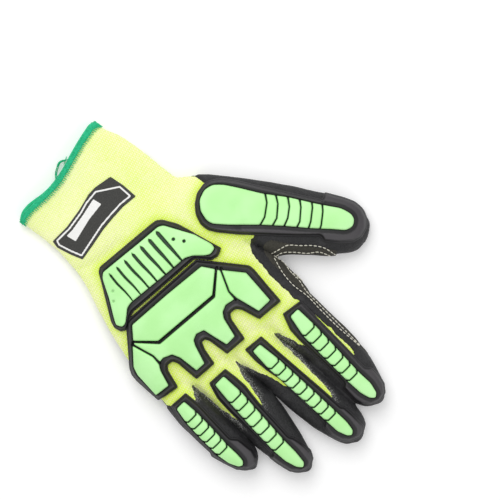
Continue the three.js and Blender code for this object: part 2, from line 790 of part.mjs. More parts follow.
// A patch that binds the thumb crotch and runs up the thumb and the index finger
function crotchPatch() {
  const corners = [
    thumb.point(0.66, 0.86),
    thumb.point(0.40, 0.855),
    thumb.point(0.40, 0.49),
    hand.point(-0.545, 0.755),
    hand.point(-0.490, 0.748),
    hand.point(-0.445, 0.775),
    hand.point(-0.432, 0.830),
    fingers.index.point(-0.460, 0.40),
    fingers.index.point(-0.420, 0.71),
    fingers.index.point(-0.560, 0.72),
    fingers.index.point(-0.800, 0.10),
  ].map((at) => ({ at, round: 0.2 * cornerRadius }));
  return prism(corners.reverse(), clearance, above)
    .intersect(gloveForm(overCoat + patchThickness))
    .subtract(gloveForm(overCoat));
}

// The hem wraps the cuff's cut edge: a band outside it and a lip over the wall
function hemRings(layer, from, to) {
  const [first, second] = handSections();
  const reach = second.left.clone().add(second.right).sub(first.left).sub(first.right).length() / 2;
  const sectionAt = (distance) => ({
    left: first.left.clone().lerp(second.left, distance / reach),
    right: first.right.clone().lerp(second.right, distance / reach),
    low: first.low,
    high: THREE.MathUtils.lerp(first.high, second.high, distance / reach),
  });
  return loft([from, to].map((distance) => ring(sectionAt(distance), layer, handSides)));
}

function hemBody() {
  const lip = hemThickness + clearance;
  const outside = hemRings(clearance + hemThickness, -lip, hemWidth);
  const cuffRoom = hemRings(clearance, -clearance, hemWidth + lip);
  const mouth = hemRings(-knitWall, -2 * lip, 0);
  return outside.subtract(cuffRoom).subtract(mouth);
}

// A woven label on the back of the cuff
const label = area(
  hand.point(labelLeft, 0).x + labelWidth / 2,
  bar.point(0, -0.5).y - labelGap - labelLength / 2,
  labelWidth,
  labelLength,
);
const labelRows = [
  { across: -0.521, along: 0.391, round: 0.15 },
  { across: -0.472, along: -0.595, round: 0.25 },
  { across: 0.521, along: -0.400, round: 0.15 },
  { across: 0.419, along: 0.586, round: 0.15 },
];

function labelBody() {
  return prism(outline(label, labelRows), palmHeight / 3, above)
    .intersect(gloveForm(clearance + labelThickness))
    .subtract(coatSeat);
}

// Finishes
const finishes = {
  knitYellow: { color: 0xe2f94e, roughness: 0.9, metalness: 0 },
  rubberBlack: { color: 0x262627, roughness: 0.85, metalness: 0 },
  guardBlack: { color: 0x2e2c30, roughness: 0.5, metalness: 0 },
  guardLime: { color: 0xb9f7a4, roughness: 0.45, metalness: 0 },
  hemGreen: { color: 0x22b07a, roughness: 0.9, metalness: 0 },
  labelBlack: { color: 0x34343a, roughness: 0.85, metalness: 0 },
  patchBlack: { color: 0x2a2a2c, roughness: 0.8, metalness: 0 },
};

const group = new THREE.Group();

function addPiece(name, body, finish) {
  const mesh = new THREE.Mesh(geometryOf(body), new THREE.MeshStandardMaterial(finishes[finish]));
  mesh.name = name;
  group.add(mesh);
}

function addGuard(name, frame, pads, seams, low, cuts) {
  const corners = Object.values(pads);
  addPiece(`${name}_base`, guardBase(frame, corners, seams, low), 'guardBlack');
  Object.entries(pads).forEach(([pad, shape]) => {
    const suffix = corners.length > 1 ? `_${pad}` : '';
    addPiece(`${name}_pad${suffix}`, guardPad(shape, cuts), 'guardLime');
  });
}

addPiece('liner', linerHand, 'knitYellow');
Object.entries(fingers).forEach(([name, finger]) => {
  addPiece(`liner_${name}`, linerWall.intersect(tubeRoom(finger, 0)), 'knitYellow');
});
addPiece('palm_coating', coatBody, 'rubberBlack');
addPiece('thumb_crotch_patch', crotchPatch(), 'patchBlack');
addPiece('cuff_hem', hemBody(), 'hemGreen');
addPiece('label', labelBody(), 'labelBlack');

const padOutlines = Object.fromEntries(
  Object.entries(platePads).map(([name, rows]) => [name, outline(plate, rows)]),
);
const seamOutlines = plateSeams.map((rows) => outline(plate, rows));
addGuard('knuckle', outline(plate, plateRows), padOutlines, seamOutlines, palmHeight / 2, []);
addGuard('wrist', outline(bar, barRows), { bar: outline(bar, barPadRows) }, [], palmHeight / 2, barCuts());
addGuard('thumb', outline(thumb, thumbFrameRows), { thumb: outline(thumb, thumbPadRows) }, [],
  thumbHeight / 2, thumbCuts());
Object.entries(fingerGuards).forEach(([name, guard]) => {
  const finger = fingers[name];
  const { corners, grooves } = fingerPad(finger, guard);
  addGuard(name, fingerFrame(finger, guard.frame), { strip: corners }, [], fingerHeight / 2, grooves);
});

export default group;
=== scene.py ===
import bmesh
import bpy
import math
import numpy as np
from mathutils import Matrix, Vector, noise
from mathutils.bvhtree import BVHTree
from mathutils.geometry import delaunay_2d_cdt


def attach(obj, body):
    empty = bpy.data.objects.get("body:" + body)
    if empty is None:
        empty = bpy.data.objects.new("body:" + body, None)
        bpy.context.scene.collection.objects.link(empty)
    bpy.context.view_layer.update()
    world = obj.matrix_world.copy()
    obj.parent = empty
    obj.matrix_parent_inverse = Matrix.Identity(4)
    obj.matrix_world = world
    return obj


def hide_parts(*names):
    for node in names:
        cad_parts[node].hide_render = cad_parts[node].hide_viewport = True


# The looks of an impact glove for the right hand, lying palm down: knit, rubber dip, moulded
# guards, patch, label, hem and stitches. Lengths are in millimetres until a mesh is made.
# +Y points to the fingertips, -X to the thumb side and +Z up from the surface under the palm.
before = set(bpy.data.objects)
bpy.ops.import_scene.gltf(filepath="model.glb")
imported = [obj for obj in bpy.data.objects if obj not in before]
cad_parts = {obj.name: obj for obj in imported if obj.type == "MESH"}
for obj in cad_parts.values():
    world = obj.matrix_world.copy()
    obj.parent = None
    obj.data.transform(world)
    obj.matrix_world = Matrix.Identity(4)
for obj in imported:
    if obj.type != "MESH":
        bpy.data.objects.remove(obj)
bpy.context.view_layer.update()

MM = 0.001
RANDOM = np.random.default_rng(7)

# Sizes of the hand, fingers and thumb
HAND_LENGTH = 170
PALM_WIDTH = 116
PALM_HEIGHT = 20
FINGER_HEIGHT = 15.5
FINGER_WIDTH = 28
LITTLE_WIDTH = 20.5
THUMB_LENGTH = 103
THUMB_WIDTH = 38
THUMB_HEIGHT = 18
ORIGIN_AT = 0.725  # of the hand's length, from the cuff
BED = 1.3  # height of the liner's underside over the surface
KNIT_WALL = 1.5
COAT = 1.1  # how proud the rubber stands of the knit
PATCH = 1.0  # and the patch of the rubber
SINK = 0.5  # how deep a layer's edge ends under the skin
FRAME_RISE = 4.6
POCKET_FLOOR = 2.2
PAD_RISE = 5.8
CUFF_BOW = 4.6  # how far the cuff's edge bows in, at its middle
CUFF_CORNER = 2.5  # how far its corners are rounded off
BOWED_SHARE = 0.22  # of the hand's length, from the cuff


class Area:
    """A part of the glove in plan: a share of its width runs across it, one of its length along it."""

    def __init__(self, x, y, width, length, lean=0.0):
        turn = math.radians(lean)
        self.origin = np.array((x, y), float)
        self.across = np.array((math.cos(turn), math.sin(turn)))
        self.along = np.array((-math.sin(turn), math.cos(turn)))
        self.width, self.length = width, length

    def point(self, across, along):
        across, along = np.asarray(across, float), np.asarray(along, float)
        return (self.origin + (across * self.width)[..., None] * self.across
                + (along * self.length)[..., None] * self.along)

    def shares(self, places):
        away = places - self.origin
        return away @ self.across / self.width, away @ self.along / self.length


hand = Area(0, -ORIGIN_AT * HAND_LENGTH, PALM_WIDTH, HAND_LENGTH)


def limb(across, along, width, length, lean):
    return Area(*hand.point(across, along), width, length, lean)


thumb = limb(-0.428, 0.505, THUMB_WIDTH, THUMB_LENGTH, 37)
fingers = {
    "index": limb(-0.333, 1.008, FINGER_WIDTH, 82, 1.4),
    "middle": limb(-0.047, 1.002, FINGER_WIDTH, 90.5, 3.7),
    "ring": limb(0.207, 0.985, FINGER_WIDTH, 84.5, -0.7),
    "little": limb(0.453, 0.952, LITTLE_WIDTH, 64, 1.5),
}

# Sections from the cuff to the crotches: at, left, right, skew, top
HAND_ROWS = np.array([
    (-0.040, -0.302, 0.371, -0.095, 0.62),
    (0.000, -0.306, 0.375, -0.090, 0.62),
    (0.105, -0.362, 0.362, -0.060, 0.60),
    (0.225, -0.390, 0.348, -0.025, 0.64),
    (0.319, -0.405, 0.353, 0.000, 0.74),
    (0.400, -0.440, 0.378, 0.000, 0.85),
    (0.490, -0.462, 0.418, 0.000, 0.94),
    (0.600, -0.474, 0.466, 0.000, 1.00),
    (0.740, -0.462, 0.506, 0.010, 0.99),
    (0.854, -0.484, 0.520, 0.050, 0.94),
    (0.925, -0.484, 0.524, 0.080, 0.86),
    (0.962, -0.478, 0.524, 0.098, 0.74),
    (0.987, -0.460, 0.512, 0.100, 0.50),
])
# How a finger's top and lift run: at, top, lift
FINGER_HEIGHTS = np.array([
    (-0.220, 0.70, 0.12), (0.030, 1.06, 0.04), (0.440, 1.04, 0.08), (0.720, 0.97, 0.06),
    (0.870, 0.88, 0.02), (0.955, 0.74, 0.00), (1.000, 0.48, 0.00),
])
# Its two sides, which lean on the next finger: at, left, right
FINGER_SIDES = {
    "index": np.array([
        (-0.220, -0.33, 0.33), (0.000, -0.55, 0.60), (0.145, -0.55, 0.62), (0.330, -0.55, 0.57),
        (0.510, -0.53, 0.52), (0.680, -0.49, 0.50), (0.800, -0.40, 0.49), (0.877, -0.32, 0.46),
        (0.938, -0.26, 0.39), (0.975, -0.18, 0.29), (1.000, -0.06, 0.16)]),
    "middle": np.array([
        (-0.220, -0.31, 0.31), (0.010, -0.52, 0.50), (0.143, -0.51, 0.48), (0.308, -0.56, 0.46),
        (0.474, -0.59, 0.48), (0.695, -0.56, 0.46), (0.805, -0.52, 0.39), (0.883, -0.48, 0.34),
        (0.940, -0.42, 0.29), (0.975, -0.35, 0.22), (1.000, -0.18, 0.09)]),
    "ring": np.array([
        (-0.220, -0.31, 0.33), (0.010, -0.50, 0.54), (0.187, -0.55, 0.51), (0.388, -0.59, 0.52),
        (0.600, -0.51, 0.48), (0.755, -0.42, 0.42), (0.838, -0.35, 0.39), (0.920, -0.28, 0.32),
        (0.975, -0.19, 0.20), (1.000, -0.08, 0.08)]),
    "little": np.array([
        (-0.220, -0.34, 0.30), (0.000, -0.58, 0.44), (0.256, -0.60, 0.52), (0.570, -0.57, 0.51),
        (0.725, -0.55, 0.46), (0.834, -0.53, 0.36), (0.930, -0.45, 0.25), (0.980, -0.32, 0.12),
        (1.010, -0.16, -0.02)]),
}
# Sections of the thumb: at, left, right, top, lift
THUMB_ROWS = np.array([
    (-0.350, -0.20, 0.78, 0.52, 0.10),
    (-0.175, -0.43, 0.92, 0.93, 0.05),
    (0.050, -0.51, 0.90, 1.02, 0.04),
    (0.370, -0.51, 0.76, 1.00, 0.04),
    (0.442, -0.50, 0.69, 0.99, 0.03),
    (0.500, -0.50, 0.62, 0.98, 0.03),
    (0.580, -0.48, 0.575, 0.97, 0.02),
    (0.680, -0.46, 0.55, 0.96, 0.02),
    (0.800, -0.44, 0.52, 0.93, 0.02),
    (0.860, -0.42, 0.48, 0.90, 0.01),
    (0.930, -0.36, 0.43, 0.78, 0.00),
    (0.970, -0.27, 0.37, 0.62, 0.00),
    (1.000, -0.14, 0.24, 0.44, 0.00),
])
# Soft dents and folds in the back: across, along, wide, long, turn, depth
DENTS = [
    (0.22, 0.365, 0.30, 0.055, 12, 1.6),
    (-0.29, 0.330, 0.16, 0.060, -35, 1.8),
    (0.10, 0.105, 0.34, 0.050, 5, 1.2),
]
# Creases, as lines in plan: the places, how wide and how deep
CREASES = [
    ([(-52, -3), (-54.5, 6), (-57.5, 14)], 1.8, 4.5),
    ([(-21, 50), (-23, 62), (-25, 80)], 2.2, 2.5),
    ([(9.5, 47), (8, 58), (6.5, 74)], 2.2, 2.5),
    ([(40, 40), (39.5, 60), (39.2, 90)], 2.2, 2.5),
    ([(-62, -24), (-55, -12), (-50, -2)], 3.5, 1.4),
    ([(-38, -20), (-30, -2), (-44, 14)], 3.0, 0.8),
    ([(38, -66), (24, -62), (8, -61)], 3.0, 1.0),
]


def hump(x, at, reach):
    """1 at one place and close to 0 past some reach of it."""
    return np.exp(-((x - at) / reach) ** 2)


def ease(value, start, end):
    """0 up to start, 1 from end, and smooth between."""
    t = np.clip((value - start) / (end - start), 0, 1)
    return t * t * (3 - 2 * t)


def bowed(points):
    """Bows the cuff's end towards the hand, its lower layer a little less, and rounds its corners."""
    moved = points.copy()
    x, y, z = points.T
    slack = (0.9 + 1.6 * hump(x, 33, 9)) * (1 - ease(z, 3, 9))
    corner = CUFF_CORNER * np.clip((np.abs(x - 3.5) - 34) / 6.5, 0, 1) ** 2
    near = 1 - ease(hand.shares(points[:, :2])[1], 0, BOWED_SHARE)
    moved[:, 1] = y + (CUFF_BOW * hump(x, 10, 24) - slack + corner) * near
    return moved


# Sections and lofts
def hermite(start, end, leaving, arriving, t):
    """A cubic from start to end with its slopes at both, at shares t of the way."""
    return (start * (1 + 2 * t) * (1 - t) ** 2 + end * t * t * (3 - 2 * t)
            + leaving * t * (1 - t) ** 2 - arriving * t * t * (1 - t))


def through(rows, column, at):
    """A monotone curve through one column of a table, read at some stations."""
    knots, values = rows[:, 0], rows[:, column]
    step = np.diff(knots)
    slope = np.diff(values) / step
    tangent = np.concatenate(([slope[0]], np.zeros(len(slope) - 1), [slope[-1]]))
    product = slope[:-1] * slope[1:]
    total = np.where(product > 0, slope[:-1] + slope[1:], 1)
    tangent[1:-1] = np.where(product > 0, 2 * product / total, 0)
    i = np.clip(np.searchsorted(knots, at) - 1, 0, len(step) - 1)
    t = (at - knots[i]) / step[i]
    return hermite(values[i], values[i + 1], tangent[i] * step[i], tangent[i + 1] * step[i], t)


PILLOW = 2 / 2.5  # the power that squares a section's round
WIDEST = 0.42  # of a section's height, where it is widest
FLATTENING = 1.15  # how much its lower half is pressed past the surface


def rings(left, right, low, high, sides):
    """Pillow sections with a flat underside: stations by sides points."""
    angle = 2 * np.pi * np.arange(sides) / sides
    across, rise = (np.sign(wave) * np.abs(wave) ** PILLOW for wave in (np.cos(angle), np.sin(angle)))
    centre, half = (left + right) / 2, (right - left) / 2
    widest = (low + WIDEST * (high - low))[:, None]
    plan = centre[:, None] + half[:, None] * across[None, :, None]
    up = widest + rise * (high[:, None] - widest)
    down = np.maximum(low[:, None], widest + rise * FLATTENING * (widest - low[:, None]))
    return np.dstack((plan, np.where(rise > 0, up, down)))


def quads(count, sides, closed=False):
    """Faces between rings of points, one after the other, and from the last to the first if closed."""
    faces = []
    for ring in range(count if closed else count - 1):
        here, there = ring * sides, (ring + 1) % count * sides
        for side in range(sides):
            beside = (side + 1) % sides
            faces.append((here + side, here + beside, there + beside, there + side))
    return faces


def loft(sections):
    """Vertices and faces of a closed loft through rings of equal count."""
    count, sides = sections.shape[:2]
    faces = quads(count, sides)
    faces.append(tuple(range(sides))[::-1])
    faces.append(tuple((count - 1) * sides + side for side in range(sides)))
    return sections.reshape(-1, 3), faces


def rounded_end(rows, reach=0.018):
    """Adds a domed end to a limb's table, so that its tip closes softly."""
    at, left, right, top, lift = rows[-1]
    dome = []
    for turn in (0.35, 0.6, 0.8, 0.93):
        shrink = math.sqrt(1 - turn * turn)
        dome.append((at + reach * turn, left * shrink, right * shrink, top * (0.5 + 0.5 * shrink), lift))
    return np.vstack((rows, dome))


def finger_rows(name):
    """A finger's whole table: at, left, right, top, lift."""
    sides = FINGER_SIDES[name]
    heights = [through(FINGER_HEIGHTS, column, np.minimum(sides[:, 0], 1)) for column in (1, 2)]
    return np.column_stack((sides, *heights))


def limb_sections(area, rows, height, sides):
    """A finger's or the thumb's sections, closer together at its tip."""
    rows = rounded_end(rows)
    at = np.concatenate((np.linspace(rows[0, 0], 0.85, 50), np.linspace(0.86, rows[-1, 0], 30)))
    left, right, top, lift = (through(rows, column, at) for column in (1, 2, 3, 4))
    low = BED + lift * height
    return rings(area.point(left, at), area.point(right, at), low, low + top * height, sides)


def hand_sections(at, sides=112):
    left, right, skew, top = (through(HAND_ROWS, column, at) for column in (1, 2, 3, 4))
    left, right = hand.point(left, at), hand.point(right, at)
    swing = skew * PALM_WIDTH / 2
    left[:, 1] += swing
    right[:, 1] -= swing
    return rings(left, right, np.full(len(at), float(BED)), BED + top * PALM_HEIGHT, sides)


# Meshes
def make(name, points, faces, finish=None, crease=180):
    """A mesh object from millimetres, smooth but for creases sharper than an angle."""
    mesh = bpy.data.meshes.new(name)
    mesh.from_pydata((np.asarray(points) * MM).tolist(), [], faces)
    mesh.update()
    mesh.polygons.foreach_set("use_smooth", np.ones(len(mesh.polygons), bool))
    if crease < 180:
        mesh.set_sharp_from_angle(angle=math.radians(crease))
    if finish:
        mesh.materials.append(finish)
    made = bpy.data.objects.new(name, mesh)
    bpy.context.scene.collection.objects.link(made)
    return made


def mark(piece, name, values, kind="FLOAT"):
    """Stores one number a vertex, or one vector, for the materials and the stitches."""
    attribute = piece.data.attributes.new(name, kind, "POINT")
    field = "vector" if kind == "FLOAT_VECTOR" else "value"
    attribute.data.foreach_set(field, np.asarray(values, np.float32).ravel())


def settled(piece):
    """The piece with its modifiers taken into a plain mesh."""
    seen = piece.evaluated_get(bpy.context.evaluated_depsgraph_get())
    mesh = bpy.data.meshes.new_from_object(seen)
    piece.modifiers.clear()
    piece.data = mesh
    return piece


def arrays(mesh):
    """A mesh's points in millimetres, its normals and its faces."""
    def read(items, field):
        values = np.empty(len(items) * 3, np.float32)
        items.foreach_get(field, values)
        return values.reshape(-1, 3).astype(float)

    faces = [tuple(polygon.vertices) for polygon in mesh.polygons]
    return read(mesh.vertices, "co") / MM, read(mesh.vertex_normals, "vector"), faces


# Fields in plan
FAR = 1e9
TINY = 1e-9  # keeps a division off zero


def to_edge(places, start, edge):
    """Squared distance to a straight edge, and the share along it of the nearest place."""
    away = places - start
    share = np.clip(away @ edge / max(edge @ edge, TINY), 0, 1)
    return ((away - share[:, None] * edge) ** 2).sum(1), share


def distance(places, loop):
    """Signed distance to a closed line in plan, above 0 inside it."""
    best = np.full(len(places), FAR)
    inside = np.zeros(len(places), bool)
    for start, end in zip(loop, np.roll(loop, -1, axis=0)):
        edge = end - start
        best = np.minimum(best, to_edge(places, start, edge)[0])
        crosses = (start[1] > places[:, 1]) != (end[1] > places[:, 1])
        meets = start[0] + (places[:, 1] - start[1]) * edge[0] / (edge[1] or TINY)
        inside ^= crosses & (places[:, 0] < meets)
    return np.sqrt(best) * np.where(inside, 1, -1)


def to_line(places, line):
    """Distance to an open line in plan, and how far along it the nearest place is, as a share."""
    best = np.full(len(places), FAR)
    share_along = np.zeros(len(places))
    count = len(line) - 1
    for index in range(count):
        gap, share = to_edge(places, line[index], line[index + 1] - line[index])
        closer = gap < best
        best = np.where(closer, gap, best)
        share_along = np.where(closer, (index + share) / count, share_along)
    return np.sqrt(best), share_along


def grain(points, size, seed=0.0):
    """Smooth noise from -1 to 1 over points, its bumps about that size."""
    shift = Vector((seed * 17.3, seed * 5.1, seed * 9.7))
    return np.array([noise.noise(Vector(point) / size + shift) for point in points])


def bumps(points, rows):
    """Noise added up from rows of size, seed and height."""
    return sum(grain(points, size, seed) * height for size, seed, height in rows)


# Outlines in plan
FINE_STEP = 0.3


def rounded(corners, radius, step):
    """A closed line from corners, each one rounded, or cut at most halfway to the next."""
    turns = np.linspace(0, 1, 9)[:, None]
    line = []
    for index, corner in enumerate(corners):
        sides = [corners[index - 1] - corner, corners[(index + 1) % len(corners)] - corner]
        start, end = (corner + side * min(radius / np.linalg.norm(side), 0.49) for side in sides)
        line.extend(start * (1 - turns) ** 2 + 2 * corner * turns * (1 - turns) + end * turns ** 2)
    return softened(line, 0, step)


def softened(line, soft, step=0.7):
    """A closed line through some places, anticlockwise, its corners softened by about so much."""
    line = resampled(np.asarray(line, float), FINE_STEP)
    if signed_area(line) < 0:
        line = line[::-1]
    if soft:
        shifts = range(-30, 31)
        weights = np.exp(-np.array(shifts) ** 2 / (2 * (soft / FINE_STEP) ** 2))
        weights /= weights.sum()
        line = sum(weight * np.roll(line, shift, axis=0) for weight, shift in zip(weights, shifts))
    return resampled(line, step)


def signed_area(line):
    ahead = np.roll(line, -1, axis=0)
    return (line[:, 0] * ahead[:, 1] - ahead[:, 0] * line[:, 1]).sum() / 2


def outward(line):
    """Unit normals that point out of a closed line, one a place."""
    ahead = np.roll(line, -1, axis=0) - np.roll(line, 1, axis=0)
    normal = np.column_stack((ahead[:, 1], -ahead[:, 0]))
    return normal / np.maximum(np.linalg.norm(normal, axis=1, keepdims=True), TINY)


def reached(line):
    """How far along a line each of its places is."""
    return np.concatenate(([0], np.cumsum(np.linalg.norm(np.diff(line, axis=0), axis=1))))


def resampled(line, step, closed=True):
    """The line again, in even steps of about that length."""
    if closed:
        line = np.vstack((line, line[:1]))
    reach = reached(line)
    count = max(3, round(reach[-1] / step))
    at = np.linspace(0, reach[-1], count + 1)[: -1 if closed else None]
    return np.column_stack([np.interp(at, reach, line[:, axis]) for axis in range(line.shape[1])])


def curve_through(points, step=0.5):
    """A smooth open line through a few places."""
    points = np.asarray(points, float)
    reach = reached(points)
    tangent = np.gradient(points, reach, axis=0)
    at = np.linspace(0, reach[-1], max(8, int(reach[-1] / step)))
    i = np.clip(np.searchsorted(reach, at) - 1, 0, len(points) - 2)
    h = (reach[i + 1] - reach[i])[:, None]
    t = (at[:, None] - reach[i][:, None]) / h
    return hermite(points[i], points[i + 1], tangent[i] * h, tangent[i + 1] * h, t)


# The soft form of the glove
VOXEL = 1.4
LOOSE_CLOTH = [(16, 1, 0.35), (7, 2, 0.15)]


def reshaped(mesh, change):
    """Lets a function change a mesh as a bmesh."""
    shape = bmesh.new()
    shape.from_mesh(mesh)
    change(shape)
    shape.to_mesh(mesh)
    shape.free()


def welded_form():
    """One closed skin over hand, fingers and thumb, without the cuff's mouth."""
    lofts = [loft(hand_sections(np.linspace(HAND_ROWS[0, 0], HAND_ROWS[-1, 0], 110)))]
    for name, finger in fingers.items():
        lofts.append(loft(limb_sections(finger, finger_rows(name), FINGER_HEIGHT, 56)))
    lofts.append(loft(limb_sections(thumb, THUMB_ROWS, THUMB_HEIGHT, 64)))
    points, faces = [], []
    for part_points, part_faces in lofts:
        first = sum(len(some) for some in points)
        points.append(part_points)
        faces += [tuple(first + corner for corner in face) for face in part_faces]
    form = make("form", np.vstack(points), faces)
    remesh = form.modifiers.new("skin", "REMESH")
    remesh.mode = "VOXEL"
    remesh.voxel_size = VOXEL * MM
    soften = form.modifiers.new("soften", "SMOOTH")
    soften.factor, soften.iterations = 0.5, 6
    return settled(form)


def soft_form():
    """The skin with its mouth cut open, its cuff bowed, and its dents, creases and loose cloth."""
    form = welded_form()
    right, _, left, _ = hand_sections(np.array([0.0]), 4)[0]
    inward = Vector((left[1] - right[1], right[0] - left[0], 0)).normalized()
    reshaped(form.data, lambda shape: bmesh.ops.bisect_plane(
        shape, geom=shape.verts[:] + shape.edges[:] + shape.faces[:], plane_co=Vector(left) * MM,
        plane_no=inward, clear_inner=True))
    points, normals, faces = arrays(form.data)
    points = bowed(points)
    sag = np.zeros(len(points))
    for across, along, wide, long, turn, depth in DENTS:
        dent = Area(*hand.point(across, along), wide * PALM_WIDTH, long * HAND_LENGTH, turn)
        u, v = dent.shares(points[:, :2])
        sag += depth * np.exp(-u * u - v * v)
    for line, wide, depth in CREASES:
        sag += depth * hump(to_line(points[:, :2], curve_through(line, 1))[0], 0, wide)
    back = ease(normals[:, 2], 0.1, 0.7) * ease(points[:, 2], 4, 9)
    points[:, 2] -= sag * back
    loose = bumps(points, LOOSE_CLOTH) * ease(points[:, 2], 3, 8)
    points += normals * loose[:, None]
    form.data.vertices.foreach_set("co", (points * MM).astype(np.float32).ravel())
    form.data.update()
    points, normals, faces = arrays(form.data)
    bpy.data.objects.remove(form)
    return points, normals, faces


class Bed:
    """Heights of the glove's back and of the even layers over it, on a grid in plan."""

    def __init__(self, points, normals, faces, pitch=1.0, levels=(0.0, 1.5, 3.0, 4.5, 6.0)):
        self.levels, self.pitch = np.array(levels), pitch
        self.low = points[:, :2].min(0) - 10
        self.size = ((points[:, :2].max(0) + 10 - self.low) / pitch).astype(int) + 1
        self.heights = np.stack([self.layer(points + normals * level, faces) for level in levels])

    def layer(self, points, faces):
        tree = BVHTree.FromPolygons(points.tolist(), faces)
        down = Vector((0, 0, -1))
        grid = np.full(self.size, np.nan)
        for i in range(self.size[0]):
            x = self.low[0] + i * self.pitch
            for j in range(self.size[1]):
                hit = tree.ray_cast(Vector((x, self.low[1] + j * self.pitch, 60)), down)[0]
                if hit:
                    grid[i, j] = hit.z
        return self.continued(self.blurred(grid))

    def blurred(self, grid, reach=1.1):
        there = ~np.isnan(grid)
        weights = np.exp(-np.arange(-4, 5) ** 2 / (2 * reach ** 2))
        sums = []
        for values in (np.where(there, grid, 0), there.astype(float)):
            for axis in (0, 1):
                values = np.apply_along_axis(np.convolve, axis, values, weights, "same")
            sums.append(values)
        return np.where(there, sums[0] / np.maximum(sums[1], 1e-9), np.nan)

    def continued(self, grid, steps=9, fall=1.3):
        """Carries the heights on past the edge, falling as the flank does."""
        for _ in range(steps):
            total, count = np.zeros_like(grid), np.zeros_like(grid)
            for shift in ((0, 1), (0, -1), (1, 0), (-1, 0)):
                near = np.roll(grid, shift, (0, 1))
                total += np.nan_to_num(near)
                count += ~np.isnan(near)
            fill = np.maximum(total / np.maximum(count, 1) - fall * self.pitch, 0.4)
            grid = np.where(np.isnan(grid) & (count > 0), fill, grid)
        return np.nan_to_num(grid, nan=0.4)

    def height(self, places, rise):
        """The height over the surface of a layer that stands so far off the back, at places in plan."""
        cell = np.clip((places - self.low) / self.pitch, 0, self.size - 1.001)
        i, j = cell.astype(int).T
        u, v = (cell - cell.astype(int)).T
        rise = np.clip(np.broadcast_to(rise, len(places)), self.levels[0] - 1, self.levels[-1])
        k = np.clip(np.searchsorted(self.levels, rise) - 1, 0, len(self.levels) - 2)
        share = (rise - self.levels[k]) / (self.levels[k + 1] - self.levels[k])

        def at(level):
            h = self.heights
            return ((h[level, i, j] * (1 - u) + h[level, i + 1, j] * u) * (1 - v)
                    + (h[level, i, j + 1] * (1 - u) + h[level, i + 1, j + 1] * u) * v)

        return at(k) * (1 - share) + at(k + 1) * share


# Nodes and shader expressions
def put(tree, value, socket):
    """Links a socket to another one, or gives it a constant."""
    if isinstance(value, bpy.types.NodeSocket):
        tree.links.new(value, socket)
    else:
        socket.default_value = value


def add_node(tree, kind, inputs, settings):
    made = tree.nodes.new(kind)
    for name, value in settings.items():
        setattr(made, name, value)
    for name, value in inputs.items():
        put(tree, value, made.inputs[name])
    return made


class Value:
    """A socket's value; sums and products of it add the Math nodes they need."""

    def __init__(self, finish, socket):
        self.finish, self.socket = finish, socket

    def math(self, operation, *values):
        return self.finish.node("ShaderNodeMath", dict(enumerate(values)), operation=operation)

    def __add__(self, other): return self.math("ADD", self, other)
    def __radd__(self, other): return self.math("ADD", other, self)
    def __sub__(self, other): return self.math("SUBTRACT", self, other)
    def __rsub__(self, other): return self.math("SUBTRACT", other, self)
    def __mul__(self, other): return self.math("MULTIPLY", self, other)

    def wave(self, pitch):
        return self.math("SINE", self * (2 * math.pi / pitch))

    def between(self, low, high):
        """0 up to low, 1 from high, and smooth between."""
        return self.finish.node("ShaderNodeMapRange", {"Value": self, "From Min": low, "From Max": high},
                                interpolation_type="SMOOTHSTEP")


class Finish:
    """A material with one Principled shader, built from expressions."""

    def __init__(self, name, colour, roughness, **constants):
        self.material = bpy.data.materials.new(name)
        self.material.use_nodes = True
        self.tree = self.material.node_tree
        self.shader = self.tree.nodes["Principled BSDF"]
        self.place = self.node("ShaderNodeTexCoord", output="Object")
        self.set(Base_Color=(*colour, 1), Roughness=roughness, **constants)

    def set(self, **values):
        """Gives the shader's inputs constants or expressions, with _ for a space in their names."""
        for name, value in values.items():
            put(self.tree, getattr(value, "socket", value), self.shader.inputs[name.replace("_", " ")])

    def node(self, kind, inputs=None, output=0, **settings):
        plain = {name: getattr(value, "socket", value) for name, value in (inputs or {}).items()}
        return Value(self, add_node(self.tree, kind, plain, settings).outputs[output])

    def plan(self):
        """The place's x and y."""
        return [self.node("ShaderNodeSeparateXYZ", {0: self.place}, output=axis) for axis in (0, 1)]

    def noise(self, per_metre, detail=2, roughness=0.5):
        return self.node("ShaderNodeTexNoise", {"Vector": self.place, "Scale": per_metre, "Detail": detail,
                                                "Roughness": roughness})

    def weave(self, wide, high):
        """Crossing threads of two pitches in metres, from -1 to 1."""
        x, y = self.plan()
        return x.wave(wide) * y.wave(high)

    def mark(self, name):
        return self.node("ShaderNodeAttribute", output="Fac", attribute_name=name)

    def blend(self, share, first, second):
        inputs = {0: share, 6: first if isinstance(first, Value) else (*first, 1),
                  7: second if isinstance(second, Value) else (*second, 1)}
        return self.node("ShaderNodeMix", inputs, output=2, data_type="RGBA")

    def bump(self, height, depth_mm, strength):
        inputs = {"Height": height, "Distance": depth_mm * MM, "Strength": strength}
        self.set(Normal=self.node("ShaderNodeBump", inputs, output="Normal"))


# The knit's two pitches and the drift of its threads, in metres, and the slant of its rows
WALE = 0.0014
COURSE = 0.0040
KNIT_DRIFT = 0.0016
COURSE_SLANT = 0.16


